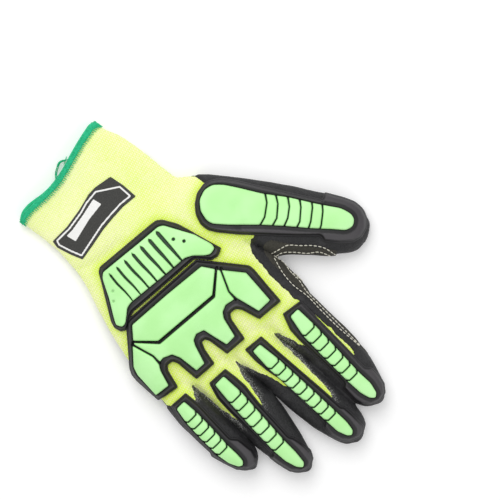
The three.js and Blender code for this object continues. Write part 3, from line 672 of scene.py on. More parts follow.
def knit_finish():
    """Hi-vis knit: staggered pale loops in rows along the hem, with painted shade that makes it deeper in
    tone beside the guards.
    """
    knit = Finish("knit_yellow", (0.80, 0.98, 0.10), 0.85, Sheen_Weight=0.2, Sheen_Roughness=0.5)
    x, y = knit.plan()
    drift = knit.noise(60, 3) * KNIT_DRIFT
    course = (y - x * COURSE_SLANT + drift).wave(COURSE)
    loops = (x + drift).wave(WALE) * course * 0.5 + 0.5
    rib = course * course * 0.5
    patchy = knit.noise(28, 3)
    fluff = knit.noise(700, 3)
    # The near mark is painted shade: it takes the tone down beside the guards.
    tone = loops * 0.36 + rib * 0.24 + fluff * 0.34 + patchy * 0.36 - knit.mark("near") * 0.24 - 0.12
    knit.set(Base_Color=knit.blend(tone.between(0.05, 0.75), (0.74, 0.98, 0.06), (1.0, 1.0, 0.62)))
    knit.bump(loops + rib + fluff * 0.6, 0.32, 0.7)
    return knit.material


def rubber_finish():
    """Wrinkled sandy rubber, with pale specks of knit where it thins out."""
    rubber = Finish("rubber_black", (0.02, 0.02, 0.021), 0.6)
    sand = rubber.noise(1400, 3, 0.7)
    broad = rubber.noise(110, 4, 0.6)
    wrinkle = rubber.noise(330, 3, 0.6)
    edge = rubber.mark("frost")
    speck = (rubber.noise(1700, 2, 0.6) + edge * 0.16).between(0.66, 0.74)
    dark = rubber.blend(sand.between(0.35, 0.75), (0.007, 0.007, 0.008), (0.030, 0.030, 0.032))
    base = rubber.blend(broad.between(0.52, 0.8) * 0.7, dark, (0.045, 0.045, 0.048))
    rubber.set(Base_Color=rubber.blend(speck * (edge * 0.85 + 0.06), base, (0.42, 0.43, 0.40)),
               Roughness=0.48 + sand * 0.35)
    rubber.bump(sand * 0.5 + broad * 1.6 + wrinkle * 0.9, 1.0, 0.75)
    return rubber.material


def guard_finish():
    """Soft black moulding with a low sheen, and a painted highlight that makes it paler along its bead, its
    outer edge and its caps.
    """
    guard = Finish("guard_black", (0.03, 0.029, 0.032), 0.42)
    fine = guard.noise(1200)
    broad = guard.noise(70)
    crest = guard.mark("crest")
    # The crest mark is a painted highlight, broken up a little by noise.
    painted_highlight = crest * (0.75 + broad * 0.4)
    guard.set(Base_Color=guard.blend(painted_highlight, (0.0075, 0.007, 0.0085), (0.052, 0.048, 0.053)),
              Roughness=0.52 - crest * 0.1 + broad * 0.1)
    guard.bump(fine, 0.12, 0.5)
    return guard.material


def lime_finish():
    """Pale lime moulding, with painted shade that makes it dark green down in its grooves."""
    lime = Finish("guard_lime", (0.50, 0.94, 0.38), 0.5)
    # Painted shade: the lime turns dark green down in its grooves.
    depth = lime.mark("painted_groove_shade").between(0.15, 0.75)
    broad = lime.noise(45)
    face = lime.blend(broad.between(0.3, 0.7), (0.48, 0.92, 0.36), (0.55, 0.98, 0.44))
    lime.set(Base_Color=lime.blend(depth, face, (0.008, 0.04, 0.012)), Roughness=0.42 + broad * 0.15)
    lime.bump(lime.noise(1300), 0.08, 0.5)
    return lime.material


def cloth_finish(name, dark, light, pitch):
    """Close woven or twisted thread between two tones."""
    cloth = Finish(name, light, 0.85)
    threads = cloth.weave(pitch, pitch) * 0.5 + cloth.noise(1100)
    cloth.set(Base_Color=cloth.blend(threads.between(0.1, 0.9), dark, light))
    cloth.bump(threads, 0.2, 0.7)
    return cloth.material


def label_finish():
    """Black woven label with a white woven border and block."""
    label = Finish("label_black", (0.045, 0.045, 0.042), 0.8)
    weave = label.weave(0.0009, 0.0006)
    threads = (weave * 0.5 + label.noise(1500)).between(0.2, 0.9)
    ground = label.blend(threads, (0.03, 0.03, 0.028), (0.07, 0.07, 0.065))
    white = label.mark("white").between(0.35, 0.65)
    label.set(Base_Color=label.blend(white, ground, (0.92, 0.92, 0.90)))
    label.bump(weave, 0.12, 0.6)
    return label.material


KNIT = knit_finish()
RUBBER = rubber_finish()
GUARD = guard_finish()
LIME = lime_finish()
LABEL = label_finish()
HEM = cloth_finish("hem_green", (0.008, 0.34, 0.14), (0.03, 0.70, 0.36), 0.0009)
PATCH_CLOTH = cloth_finish("patch_black", (0.018, 0.017, 0.013), (0.062, 0.058, 0.045), 0.0011)
THREAD = cloth_finish("stitch_white", (0.62, 0.60, 0.48), (0.86, 0.84, 0.74), 0.0006)

# Knit, rubber and patch, all from the one skin
skin, skin_normals, skin_faces = soft_form()
bed = Bed(skin, skin_normals, skin_faces)

# Where the back stays bare knit, as places in plan in millimetres: up the little finger's side,
# along each finger in turn to under its guard, and back down the thumb's side to the cuff
BARE_KNIT = np.array([
    (70, -140), (70, 31), (60, 36), (55, 44), (50, 48), (45, 46), (43, 42.5), (40, 38), (39, 46), (38, 56),
    (36.5, 66), (34, 80), (20, 84), (14.5, 72), (13.5, 62), (12, 54), (9.5, 46), (6, 56), (1.5, 67),
    (-1.5, 78), (-8, 100), (-17.5, 110), (-19.5, 104), (-20.8, 94), (-21, 82), (-20.5, 66), (-20.4, 49),
    (-24, 55), (-27, 65), (-30.5, 75), (-38, 90), (-48.3, 98), (-49.6, 92), (-49.3, 76), (-48, 62),
    (-47.6, 49), (-46.6, 44), (-46, 24), (-46.8, 12), (-48, 4.5), (-51, -0.5), (-58, -3), (-60, -30),
    (-58, -48), (-57, -55), (-50, -67), (-75, -78), (-75, -140),
], float)
DIP_HEIGHT = 0.35 * PALM_HEIGHT
WRIST_DIP = 0.2 * PALM_HEIGHT
COAT_END = 0.18  # of the hand's length, from the cuff
RAGGED_EDGE = [(5, 3, 0.9), (1.9, 4, 0.6)]


def dip(points):
    """How far into the rubber a place on the skin is, below 0 where the knit stays bare."""
    plan, height = points[:, :2], points[:, 2]
    climb = WRIST_DIP + (DIP_HEIGHT - WRIST_DIP) * ease(plan[:, 1], -60, -10)
    bare = [np.minimum(distance(plan, BARE_KNIT), height - climb),
            (COAT_END - hand.shares(plan)[1]) * HAND_LENGTH]
    return bumps(points, RAGGED_EDGE) - np.max(bare, axis=0)


# Where rubber thins out to pale specks: the sides of the finger webs, as lines in plan
WEB_SIDES = [
    [(-21, 52), (-19, 70), (-15, 92), (-17, 112)], [(9, 52), (14, 66), (19, 82)],
    [(41, 44), (38.5, 62), (36, 78)],
]
WEB_REACH = 9
FROST_REACH = 3.5  # and how far in from the rubber's edge


def frosted(points):
    """How far the pale specks show at some places, from 0.1 to 1."""
    near = np.min([to_line(points[:, :2], curve_through(line, 1))[0] for line in WEB_SIDES], axis=0)
    return 0.1 + 0.9 * (1 - ease(near, 0.5 * WEB_REACH, WEB_REACH))


def walled(piece, thickness):
    """The piece with a wall that goes inwards from its surface."""
    wall = piece.modifiers.new("wall", "SOLIDIFY")
    wall.thickness, wall.offset = thickness * MM, -1
    return settled(piece)


def shell(name, inside, rise, slope, wall, finish):
    """A closed layer over part of the skin. It comes up from under the skin at its edge."""
    kept = [face for face in skin_faces if max(inside[corner] for corner in face) > -SINK / slope]
    used = sorted({corner for face in kept for corner in face})
    number = {corner: index for index, corner in enumerate(used)}
    lift = np.clip(inside[used] * slope, -SINK, rise)
    points = skin[used] + skin_normals[used] * lift[:, None]
    piece = make(name, points, [tuple(number[corner] for corner in face) for face in kept], finish)
    mark(piece, "frost", hump(inside[used], 0, FROST_REACH) * frosted(points))
    return walled(piece, wall)


knit_glove = walled(make("knit_glove", skin, skin_faces, KNIT), KNIT_WALL)
rubber_dip = shell("rubber_dip", dip(skin), COAT, 0.9, 0.8, RUBBER)

# The patch that binds the thumb crotch and runs up the thumb and the index finger
PATCH_CORNERS = [
    thumb.point(0.70, 0.86), thumb.point(0.40, 0.855), thumb.point(0.40, 0.49),
    hand.point(-0.545, 0.755), hand.point(-0.490, 0.748), hand.point(-0.445, 0.775),
    hand.point(-0.432, 0.830), fingers["index"].point(-0.460, 0.40),
    fingers["index"].point(-0.420, 0.71), fingers["index"].point(-0.620, 0.72),
    fingers["index"].point(-0.800, 0.10),
]
PATCH_EDGE = 0.9  # how far inside its line the cloth comes up
patch_line = rounded(PATCH_CORNERS, 2, 1.5)
patch_inside = np.minimum(distance(skin[:, :2], patch_line), skin[:, 2] - 0.6)
crotch_patch = shell("crotch_patch", patch_inside - PATCH_EDGE, COAT + PATCH, 1.6, 0.9, PATCH_CLOTH)


# Mouldings that lie on the back
EDGE_RINGS = (0.12, 0.45, 0.85, 1.15, 1.4, 1.7, 2.2)
FLANGE_WIDTH = 1.1
FLANGE_FOOT = 0.9  # its height at the very edge
FLANGE_RISE = 2.2
BEAD_AT = 2.3  # where the bead's crest runs, in from the frame's edge
BEAD_ROUND = 1.2
POCKET_EDGE = 0.36  # the pocket's clearance round a pad
SEAM_HALF = 0.25
GROOVE_DEPTH = 1.9


def filled(border, pitch, rings_in, loops):
    """Points and triangles that fill a line in plan, closer at its edge and round inner lines."""
    points, edges = [border], []

    def close(first, count):
        edges.extend((first + step, first + (step + 1) % count) for step in range(count))

    close(0, len(border))
    inner = [loop for loop in loops if len(loop) > 2]
    for loop in inner:
        close(sum(len(some) for some in points), len(loop))
        points.append(loop)
    out = outward(border)
    for depth in rings_in:
        ring = border - out * depth
        points.append(ring[np.abs(distance(ring, border) - depth) < 0.03])
    low, high = border.min(0), border.max(0)
    xs = np.arange(low[0], high[0], pitch)
    ys = np.arange(low[1], high[1], pitch * 0.866)
    grid = np.array([(x + (row % 2) * pitch / 2, y) for row, y in enumerate(ys) for x in xs])
    keep = distance(grid, border) > max(rings_in) + pitch * 0.5
    for loop in inner:
        keep &= np.abs(distance(grid, loop)) > pitch * 0.4
    points.append(grid[keep])
    everything = np.vstack(points)
    made = delaunay_2d_cdt([Vector(point) for point in everything], edges, [], 1, 1e-4)
    plan = np.array([tuple(point) for point in made[0]])
    return plan, [tuple(face) for face in made[2]]


def moulding(name, border, rise, finish, kept, marked, loops=(), pitch=0.8, rings_in=EDGE_RINGS, sunk=0.4,
             crease=38):
    """A closed moulding: its face stands off the glove's back by rise, and its underside is sunk in.
    What marked gives for each place in plan is kept for its finish under a name."""
    plan, faces = filled(border, pitch, rings_in, loops)
    lift = rise(plan)
    top = bed.height(plan, lift)
    under = np.minimum(bed.height(plan, -sunk), top - 0.2)
    count = len(plan)
    directed = {(a, b) for face in faces for a, b in zip(face, face[1:] + face[:1])}
    rim = [(a, a + count, b + count, b) for a, b in directed if (b, a) not in directed]
    closed = faces + [tuple(corner + count for corner in face[::-1]) for face in faces] + rim
    points = np.vstack((np.column_stack((plan, top)), np.column_stack((plan, under))))
    piece = make(name, points, closed, finish, crease)
    mark(piece, kept, np.tile(marked(plan), 2))
    return piece


def bulge(depth, reach):
    """A quarter-round from 0 at an edge to 1 at some depth in from it."""
    return np.sqrt(np.maximum(1 - (1 - np.clip(depth / reach, 0, 1)) ** 2, 0))


def guard_frame(name, border, pads, seams=()):
    """A black frame: a low flange, a rounded bead inside it, and a pocket for its pads."""
    def shape(plan):
        depth = distance(plan, border)
        gap = -np.max([distance(plan, pad) for pad in pads], axis=0)
        for seam in seams:
            gap = np.minimum(gap, to_line(plan, seam)[0] - SEAM_HALF)
        cap = ease(gap, 2.5, 3.3) * ease(depth, 1.5, 2.1)
        return depth, gap, cap

    def rise(plan):
        depth, gap, cap = shape(plan)
        flange = FLANGE_FOOT + (FLANGE_RISE - FLANGE_FOOT) * bulge(depth, 0.45)
        bead = bulge(depth - FLANGE_WIDTH, BEAD_ROUND) * (0.6 + 0.4 * bulge(gap - 0.3, BEAD_ROUND))
        line = 0.8 + 0.2 * np.maximum(cap, hump(depth, BEAD_AT, 0.8))
        return np.where(gap > POCKET_EDGE, flange + (FRAME_RISE - FLANGE_RISE) * bead * line, POCKET_FLOOR)

    # Where the guard's finish paints a highlight: the bead's crest, a line along the outer edge, and the
    # broad caps.
    def crest(plan):
        depth, gap, cap = shape(plan)
        bead = 0.75 * hump(depth, BEAD_AT, 0.38) * ease(gap, 0.3, 0.8)
        return np.max((bead, 0.5 * hump(depth, 0.4, 0.25), cap), axis=0)

    loops = [resampled(pad + outward(pad) * growth, 0.7) for pad in pads for growth in (0.28, 0.42)]
    return moulding(name, border, rise, GUARD, "crest", crest, loops)


PAD_STEP = 0.55  # between the points of a pad's outline
PAD_FOOT = POCKET_FLOOR + 0.3
PAD_CROWN = 0.35


def guard_pad(name, border, cuts):
    """A lime pad with soft edges, crowned a little, with its grooves cut in."""
    def rise(plan):
        depth = distance(plan, border)
        face = PAD_FOOT + (PAD_RISE - PAD_FOOT - PAD_CROWN) * (0.45 + 0.55 * bulge(depth, 1.1))
        return face + PAD_CROWN * ease(depth, 0.5, 5) - cuts(plan) * GROOVE_DEPTH

    # How deep each groove is cut is also kept for the painted shade in it.
    return moulding(name, border, rise, LIME, "painted_groove_shade", cuts, pitch=PAD_STEP, rings_in=(0.08, 0.3, 0.65, 1.1),
                    sunk=-POCKET_FLOOR - 0.2)


def no_cuts(plan):
    return np.zeros(len(plan))


def line_cuts(lines, width):
    """Grooves along some lines in plan, wider at their ends where they meet the frame."""
    def cuts(plan):
        deepest = np.zeros(len(plan))
        for line in lines:
            away, along = to_line(plan, line)
            half = width * (1 + 0.6 * np.abs(2 * along - 1) ** 4)
            deepest = np.maximum(deepest, hump(away, 0, half))
        return deepest
    return cuts


# Finger guards, as places in plan: the frame, the pad, and where its grooves start and end
FINGER_GUARDS = {
    "index": dict(
        frame=[(-48.7, 48.5), (-34, 46.3), (-30, 57), (-29.5, 65), (-30, 90), (-30, 106), (-27.3, 107),
               (-26.8, 118), (-28, 124), (-32, 129), (-39, 131.5), (-45, 130), (-49, 125), (-50.3, 120),
               (-50.5, 112), (-47.5, 108), (-48, 90), (-48.3, 62)],
        pad=[(-43.2, 51), (-36.3, 51), (-33.4, 66), (-33, 85), (-33, 107), (-33.6, 118), (-35.5, 124.5),
             (-38.3, 127.2), (-41, 125), (-42.6, 118), (-42.2, 107), (-43, 85), (-43.6, 66)],
        first=66.5, last=107, grooves=7),
    "middle": dict(
        frame=[(-14.2, 46.7), (-0.4, 45.3), (0, 55), (-1, 66), (-3, 75), (-3, 115), (-0.5, 116), (0.2, 124),
               (-2, 131), (-6, 136), (-13, 138.9), (-17, 138), (-20, 135), (-20.7, 125), (-20.2, 116.5),
               (-18.8, 115.5), (-18, 100), (-15, 60)],
        pad=[(-9.8, 49.8), (-3.3, 49.8), (-2.7, 65), (-4, 90), (-5, 115), (-5.5, 125), (-8, 131.5),
             (-10.5, 133.5), (-13, 131.5), (-14, 125), (-13.8, 115), (-12.8, 90), (-11.6, 65)],
        first=66, last=115.5, grooves=9),
    "ring": dict(
        frame=[(17.2, 45.1), (31.2, 44.3), (34.5, 55), (35, 65), (35, 105), (38, 106), (37.3, 112), (35, 122),
               (30, 128), (24, 129.7), (18, 127), (15.3, 122), (15.3, 117), (16.8, 108), (18.5, 105),
               (17, 75), (15.5, 62), (16, 54)],
        pad=[(21.3, 47.8), (29.2, 47.8), (30.6, 63), (32, 85), (32.6, 105), (31.8, 115), (29.5, 122.5),
             (26.7, 126), (24, 124), (23, 115), (23, 105), (21.8, 85), (20.5, 63)],
        first=63.5, last=105, grooves=7),
    "little": dict(
        frame=[(46.3, 38.1), (59.2, 37.3), (62.5, 50), (62.8, 77), (64, 79), (61.5, 88), (58.5, 97),
               (53, 102.3), (47, 103.7), (43, 100.5), (41.3, 95), (42.6, 83), (46, 79), (45, 50)],
        pad=[(50.9, 41.3), (57.7, 41.3), (59.6, 52), (60.2, 66), (60.2, 81), (58.7, 90), (56, 95.8),
             (53.5, 97.5), (51.2, 95.5), (50.7, 90), (51, 81), (50.3, 66), (50.1, 52)],
        first=52.5, last=81.5, grooves=6),
}


def span_at(pad, y):
    """Where a line across the pad at some height meets its two sides."""
    crossings = []
    for start, end in zip(pad, np.roll(pad, -1, axis=0)):
        if (start[1] > y) != (end[1] > y):
            crossings.append(start[0] + (y - start[1]) / (end[1] - start[1]) * (end[0] - start[0]))
    return min(crossings), max(crossings)


def finger_guard(name, guard):
    """A finger's frame and its pad, whose grooves are straight with ends bent back."""
    pad = softened(guard["pad"], 0.8, PAD_STEP)
    grooves = []
    for y in np.linspace(guard["first"], guard["last"], guard["grooves"]):
        left, right = span_at(pad, y)
        grooves.append(np.array([(left - 0.4, y - 1.5), (left + 1.3, y + 0.2), ((left + right) / 2, y + 0.3),
                                 (right - 1.3, y + 0.2), (right + 0.4, y - 1.5)]))
    base = guard_frame(f"{name}_frame", softened(guard["frame"], 0.5), [pad])
    strip = guard_pad(f"{name}_lime", pad, line_cuts(grooves, 0.5))
    return [(base, f"{name}_base"), (strip, f"{name}_pad")]


# Knuckle plate, as places in plan: its frame, four pads and the seams between them
PLATE_FRAME = [
    (-19.5, -18), (-30, -5), (-41, 9), (-41.5, 13), (-40.3, 26), (-39.3, 39.8), (-21, 38.3), (-17.3, 26),
    (-15, 22.8), (-10.5, 22.2), (-8.3, 25.5), (-5.6, 40.5), (9.7, 39.5), (11.5, 26), (12.8, 22.8),
    (15.5, 22.3), (17.5, 27), (19.6, 38), (35.2, 37), (36.4, 21), (38, 17.8), (41.8, 17.3), (44, 20),
    (47, 32.1), (58, 30.3), (62.7, 29.2), (63.8, 10), (63.2, 5), (61, 1), (53, -8), (45, -17.3), (42, -20.8),
    (38.5, -21.7), (10, -19.9),
]
PLATE_PADS = {
    "rear": [(-18.6, -12.4), (-23.6, -5), (-10.6, 5.6), (35, 1.8), (46.3, -9.6), (39.6, -17.2), (10, -15.2)],
    "centre": [
        (-24.5, -3.7), (-25.3, -2), (-19.2, 11.3), (-18.7, 17.6), (-12.2, 16.2), (-7.6, 18.1), (-5.2, 21.5),
        (-2, 34.7), (5.4, 34.8), (8, 23.7), (9.2, 17.8), (14.5, 16), (18.5, 17.7), (20.3, 21.1), (24.2, 33.3),
        (31, 32.9), (32.5, 19.8), (34.8, 14.4), (40.6, 11.8), (43.7, 12.2), (43.6, 6.4), (47.6, -7.4),
        (47.2, -8.4), (35.6, 4.2), (-10.8, 8)],
    "index": [(-26.3, -1.4), (-36.2, 10.9), (-34.6, 34.4), (-24.5, 34.1), (-20.4, 18), (-20.3, 11.9)],
    "little": [
        (49, -7.4), (44.9, 6.7), (45.4, 13), (47.6, 16.6), (50.7, 27), (61, 25.7), (60.2, 8), (58.3, 2.6)],
}
PLATE_SEAMS = [
    [(-25, -4.9), (-11, 7), (35.4, 3.2), (47.3, -9.2)], [(-26.8, -2.8), (-19.8, 11.6), (-19.6, 18.3)],
    [(48.5, -8), (44.3, 6.5), (44.6, 12.9)],
]


# Wrist bar, as places in plan
BAR_FRAME = [
    (-36.3, -11.7), (-31, -9.3), (-26, -10.6), (-19, -18.9), (10, -20.9), (33, -22.7), (37, -21.6),
    (40, -19.3), (44, -17), (48, -19.5), (49.3, -24), (48, -28.5), (35, -50), (31, -57), (28, -58.7),
    (-15, -54.8), (-19, -54.2), (-22.3, -51.5), (-27.2, -43), (-29.7, -35), (-33.2, -22),
]
BAR_PAD = [
    (-33, -14.6), (-28.3, -13.8), (-25, -16), (-20, -21), (-15, -23.8), (0, -25), (20, -27), (30, -28),
    (34, -27.3), (38, -24), (42, -21), (45, -20.8), (47, -24.5), (45, -28.5), (38, -40), (32, -52),
    (29, -54.6), (0, -51.6), (-17, -50.2), (-20, -48.5), (-23, -43), (-30, -30), (-33.6, -18),
]
SLOT_MOUTHS = [(-12.3, -22), (-5.3, -22.5), (1.5, -23), (8.5, -23.7), (15.2, -24.2), (22, -25), (28.5, -26)]
SLOT_TIPS = [(-14, -49.2), (-7, -49.3), (0, -49.7), (7, -50.2), (13.7, -50.7), (20.3, -51), (26.7, -51.3)]
BAR_DIMPLES = [(-22.3, -31.8, 1.0), (-18.3, -37.5, 1.0), (37.3, -36.5, 0.4), (33, -41.5, 0.4)]


def knuckle_plate():
    pads = {name: softened(places, 0.5, PAD_STEP) for name, places in PLATE_PADS.items()}
    seams = [np.array(line) for line in PLATE_SEAMS]
    base = guard_frame("knuckle_frame", softened(PLATE_FRAME, 0.6), list(pads.values()), seams)
    made = [(base, "knuckle_base")]
    for name, pad in pads.items():
        made.append((guard_pad(f"knuckle_lime_{name}", pad, no_cuts), f"knuckle_pad_{name}"))
    return made


def bar_cuts(plan):
    """Seven slots, each with a pointed end and a slight swing, and four dimples."""
    deepest = np.zeros(len(plan))
    for index, (mouth, tip) in enumerate(zip(SLOT_MOUTHS, SLOT_TIPS)):
        mouth, tip = np.array(mouth), np.array(tip)
        swing = np.array((0.05 + 0.04 * index, 0))
        thirds = [tip * 0.67 + mouth * 0.33 + swing, tip * 0.33 + mouth * 0.67 - swing]
        away, along = to_line(plan, curve_through([tip, *thirds, mouth], 2))
        half = (1.15 - 0.09 * index) * ease(along, -0.01, 0.08) * (1 - 0.5 * ease(along, 0.3, 1))
        deepest = np.maximum(deepest, 1 - ease(away, half - 0.25, half + 0.3))
    for x, y, depth in BAR_DIMPLES:
        away = np.linalg.norm(plan - (x, y), axis=1)
        deepest = np.maximum(deepest, depth * (1 - ease(away, 0.7, 1.4)))
    return deepest


def wrist_bar():
    pad = softened(BAR_PAD, 0.8, PAD_STEP)
    base = guard_frame("wrist_frame", softened(BAR_FRAME, 0.7), [pad])
    return [(base, "wrist_base"), (guard_pad("wrist_lime", pad, bar_cuts), "wrist_pad")]


# Thumb guard, as places in plan
THUMB_FRAME = [
    (-57, -49.3), (-50, -48), (-44, -44), (-39.5, -38.5), (-37.3, -32), (-38, -26), (-41, -21), (-50, -10),
    (-62, 3), (-75, 17), (-86.6, 28.4), (-85.4, 32), (-92, 40), (-99, 46), (-105, 47.7), (-112, 46),
    (-117, 41), (-119.2, 35), (-118.7, 28), (-115, 20), (-109, 9.8), (-104.4, 12), (-98.8, 3.5),
    (-91.8, -7.5), (-83.6, -20.5), (-74, -36), (-69.5, -42), (-66, -45.5), (-61, -48.5),
]
THUMB_PAD = [
    (-43, -27), (-42, -31), (-43.5, -38), (-48, -43.5), (-55, -46), (-61, -44.5), (-66, -39.5), (-71, -32),
    (-79.5, -18), (-90, -4), (-100, 12), (-109, 25), (-111, 32), (-110, 36), (-106, 38.5), (-101, 37),
    (-96, 31), (-90, 24.5), (-85, 19), (-75, 7), (-65, -4), (-50, -19),
]
THUMB_GROOVES = [
    [(-81.3, -17), (-77.5, -11.5), (-70, -6), (-63, -4)], [(-85.5, -11.5), (-82, -6), (-75, 0), (-68, 2)],
    [(-90, -5), (-86, 0.5), (-80, 5), (-73.5, 7.5)], [(-94, 2), (-91, 6), (-84, 12), (-79, 13.7)],
    [(-98.5, 8.5), (-96, 11.5), (-89, 17), (-84, 19.5)],
    [(-102.5, 14), (-99, 18), (-92, 23.5), (-88.5, 25.2)],
]


def thumb_guard():
    pad = softened(THUMB_PAD, 1.4, PAD_STEP)
    base = guard_frame("thumb_frame", softened(THUMB_FRAME, 0.8), [pad])
    cuts = line_cuts([np.array(line) for line in THUMB_GROOVES], 0.55)
    return [(base, "thumb_base"), (guard_pad("thumb_lime", pad, cuts), "thumb_pad")]


guards = knuckle_plate() + wrist_bar() + thumb_guard()
for finger_name, guard_rows in FINGER_GUARDS.items():
    guards += finger_guard(finger_name, guard_rows)

# Painted shade: the knit is deeper in tone close to a guard, where the guards shade it
GUARD_SHADE_REACH = 3.8
guard_lines = [BAR_FRAME, PLATE_FRAME, THUMB_FRAME, *(guard["frame"] for guard in FINGER_GUARDS.values())]
knit_plan = arrays(knit_glove.data)[0][:, :2]
beside = -np.max([distance(knit_plan, np.array(line, float)) for line in guard_lines], axis=0)
mark(knit_glove, "near", hump(np.maximum(beside, 0), 0, GUARD_SHADE_REACH))

# Woven label, as places in plan: its outline, its white border and its white block
LABEL_OUTLINE = [
    (-20.7, -74.5), (-10, -75.5), (0, -75), (10, -74), (20, -72), (32.6, -69.9), (36, -78), (38.9, -87),
    (38.2, -92), (25, -92), (12, -94), (0, -97), (-6, -97.2), (-18, -95.1), (-20, -85),
]
LABEL_BORDER = [
    (-17.6, -86.2), (-18.2, -77.2), (-10, -78), (0, -77.5), (8.4, -76.8), (31.2, -72.2), (34, -79),
    (36.7, -87.3), (35.8, -90.3), (25, -90), (12, -92), (5, -94), (-4.3, -94.9),
]
LABEL_BLOCK = [(0.2, -92.6), (-1.3, -86.7), (11, -85.3), (27.4, -81.4), (29.1, -87.9), (24, -88), (12, -90)]
label_line = softened(LABEL_OUTLINE, 0.4)


def label_white(plan):
    border = np.abs(distance(plan, softened(LABEL_BORDER, 0.15, 0.5)))
    block = distance(plan, softened(LABEL_BLOCK, 0.2, 0.5))
    return np.maximum(1 - ease(border, 0.35, 0.7), ease(block, -0.2, 0.2))


def label_rise(plan):
    return 0.25 + 0.55 * bulge(distance(plan, label_line), 0.6)


woven_label = moulding("woven_label", label_line, label_rise, LABEL, "white", label_white, pitch=0.45,
                       rings_in=(0.15, 0.4), crease=180)

# The hem: a band folded over the cuff's cut edge. How far in from the edge and how far off the knit
# each line of its section runs
HEM_PROFILE = [
    (2.4, -1.9), (0.4, -2.1), (-0.3, -1.6), (-0.6, -0.6), (-0.5, 0.4), (0.2, 1.0), (1.4, 1.2), (2.2, 1.1),
    (2.8, 0.8), (3.0, 0.4), (2.9, -0.3), (2.2, -0.4), (0.3, -0.4), (0.2, -1.5), (2.4, -1.55),
]
HEM_SIDES = 180
WAVY_PAST = 2.5  # the band's edge on the knit is wavy, where it reaches further in than this


def hem_ring(distance_in, layer):
    """One line round the cuff, so far in from its edge and so far off the knit, the way out and in."""
    share = 0.03
    near, far = hand_sections(np.array([0.0, share]), HEM_SIDES)
    ring = bowed(near + (far - near) * distance_in / (share * HAND_LENGTH))
    ahead = np.roll(ring, -1, axis=0) - np.roll(ring, 1, axis=0)
    run = (far - near) / np.linalg.norm(far - near, axis=1, keepdims=True)
    out = np.cross(run, ahead)
    out /= np.linalg.norm(out, axis=1, keepdims=True)
    return ring + out * layer * (0.4 + 0.6 * np.abs(out[:, 2:])), out, run


def hem_band():
    lines = []
    for reach, layer in HEM_PROFILE:
        line, _, run = hem_ring(reach, layer)
        lines.append(line + run * (0.4 * grain(line, 2.2) * (reach > WAVY_PAST))[:, None])
    band = make("hem_band", np.vstack(lines), quads(len(lines), HEM_SIDES, closed=True), HEM)
    reshaped(band.data, lambda shape: bmesh.ops.recalc_face_normals(shape, faces=shape.faces))
    return band


hem = hem_band()


# Stitches: small rounded strands laid on points, each with its run and the way out of the surface
def stitch_tree():
    tree = bpy.data.node_groups.new("laid_stitches", "GeometryNodeTree")
    for name, kind in (("Geometry", "Geometry"), ("Length", "Float"), ("Width", "Float"), ("Height", "Float"),
                       ("Seed", "Int"), ("Finish", "Material")):
        tree.interface.new_socket(name, in_out="INPUT", socket_type=f"NodeSocket{kind}")
    tree.interface.new_socket("Geometry", in_out="OUTPUT", socket_type="NodeSocketGeometry")

    def node(kind, inputs=(), **settings):
        return add_node(tree, kind, dict(inputs), settings)

    given = node("NodeGroupInput")
    bead = node("GeometryNodeMeshUVSphere", {"Segments": 8, "Rings": 6, "Radius": 0.5})
    size = node("ShaderNodeCombineXYZ", {"X": given.outputs["Length"], "Y": given.outputs["Width"],
                                         "Z": given.outputs["Height"]})
    strand = node("GeometryNodeTransform", {"Geometry": bead.outputs["Mesh"], "Scale": size.outputs[0]})
    run, out = (node("GeometryNodeInputNamedAttribute", {"Name": name}, data_type="FLOAT_VECTOR").outputs[0]
                for name in ("run", "out"))
    turn = node("FunctionNodeAxesToRotation", {0: out, 1: run}, primary_axis="Z", secondary_axis="X")
    vary = node("FunctionNodeRandomValue", {"Min": (0.9, 0.85, 0.85), "Max": (1.1, 1.15, 1.15),
                                            "Seed": given.outputs["Seed"]}, data_type="FLOAT_VECTOR")
    laid = node("GeometryNodeInstanceOnPoints", {
        "Points": given.outputs["Geometry"], "Instance": strand.outputs["Geometry"],
        "Rotation": turn.outputs[0], "Scale": vary.outputs[0]})
    real = node("GeometryNodeRealizeInstances", {"Geometry": laid.outputs["Instances"]})
    smooth = node("GeometryNodeSetShadeSmooth", {"Geometry": real.outputs["Geometry"]})
    painted = node("GeometryNodeSetMaterial", {"Geometry": smooth.outputs[0],
                                               "Material": given.outputs["Finish"]})
    node("NodeGroupOutput", {"Geometry": painted.outputs["Geometry"]})
    return tree


STITCHES = stitch_tree()


def lay_stitches(name, points, run, out, size, finish, seed):
    """One strand of a length, width and height on each point."""
    carrier = make(name, points, [])
    mark(carrier, "run", run, "FLOAT_VECTOR")
    mark(carrier, "out", out, "FLOAT_VECTOR")
    sewing = carrier.modifiers.new("sewing", "NODES")
    sewing.node_group = STITCHES
    values = {"Length": size[0] * MM, "Width": size[1] * MM, "Height": size[2] * MM, "Seed": seed,
              "Finish": finish}
    for item in STITCHES.interface.items_tree:
        if item.in_out == "INPUT" and item.name in values:
            sewing[item.identifier] = values[item.name]
    return settled(carrier)


def on_skin(line, layer):
    """A line in plan laid on a layer over the skin: points and the way out."""
    tree = BVHTree.FromPolygons((skin + skin_normals * layer).tolist(), skin_faces)
    points, out = [], []
    for x, y in line:
        place, normal, *_ = tree.ray_cast(Vector((x, y, 60)), Vector((0, 0, -1)))
        if place is None:
            place, normal, *_ = tree.find_nearest(Vector((x, y, 9)))
        points.append(tuple(place))
        out.append(tuple(normal))
    return np.array(points), np.array(out)


def sewn(name, lines, layer, pitch, size, finish, seed):
    """Running stitches along lines in plan, end to end with small gaps."""
    points, runs, outs = [], [], []
    for line in lines:
        path, out = on_skin(resampled(curve_through(line), 0.5, closed=False), layer)
        spaced = resampled(np.hstack((path, out)), pitch, closed=False)
        runs.append(np.gradient(spaced[:, :3], axis=0))
        points.append(spaced[:, :3])
        outs.append(spaced[:, 3:])
    return lay_stitches(name, np.vstack(points), np.vstack(runs), np.vstack(outs), size, finish, seed)


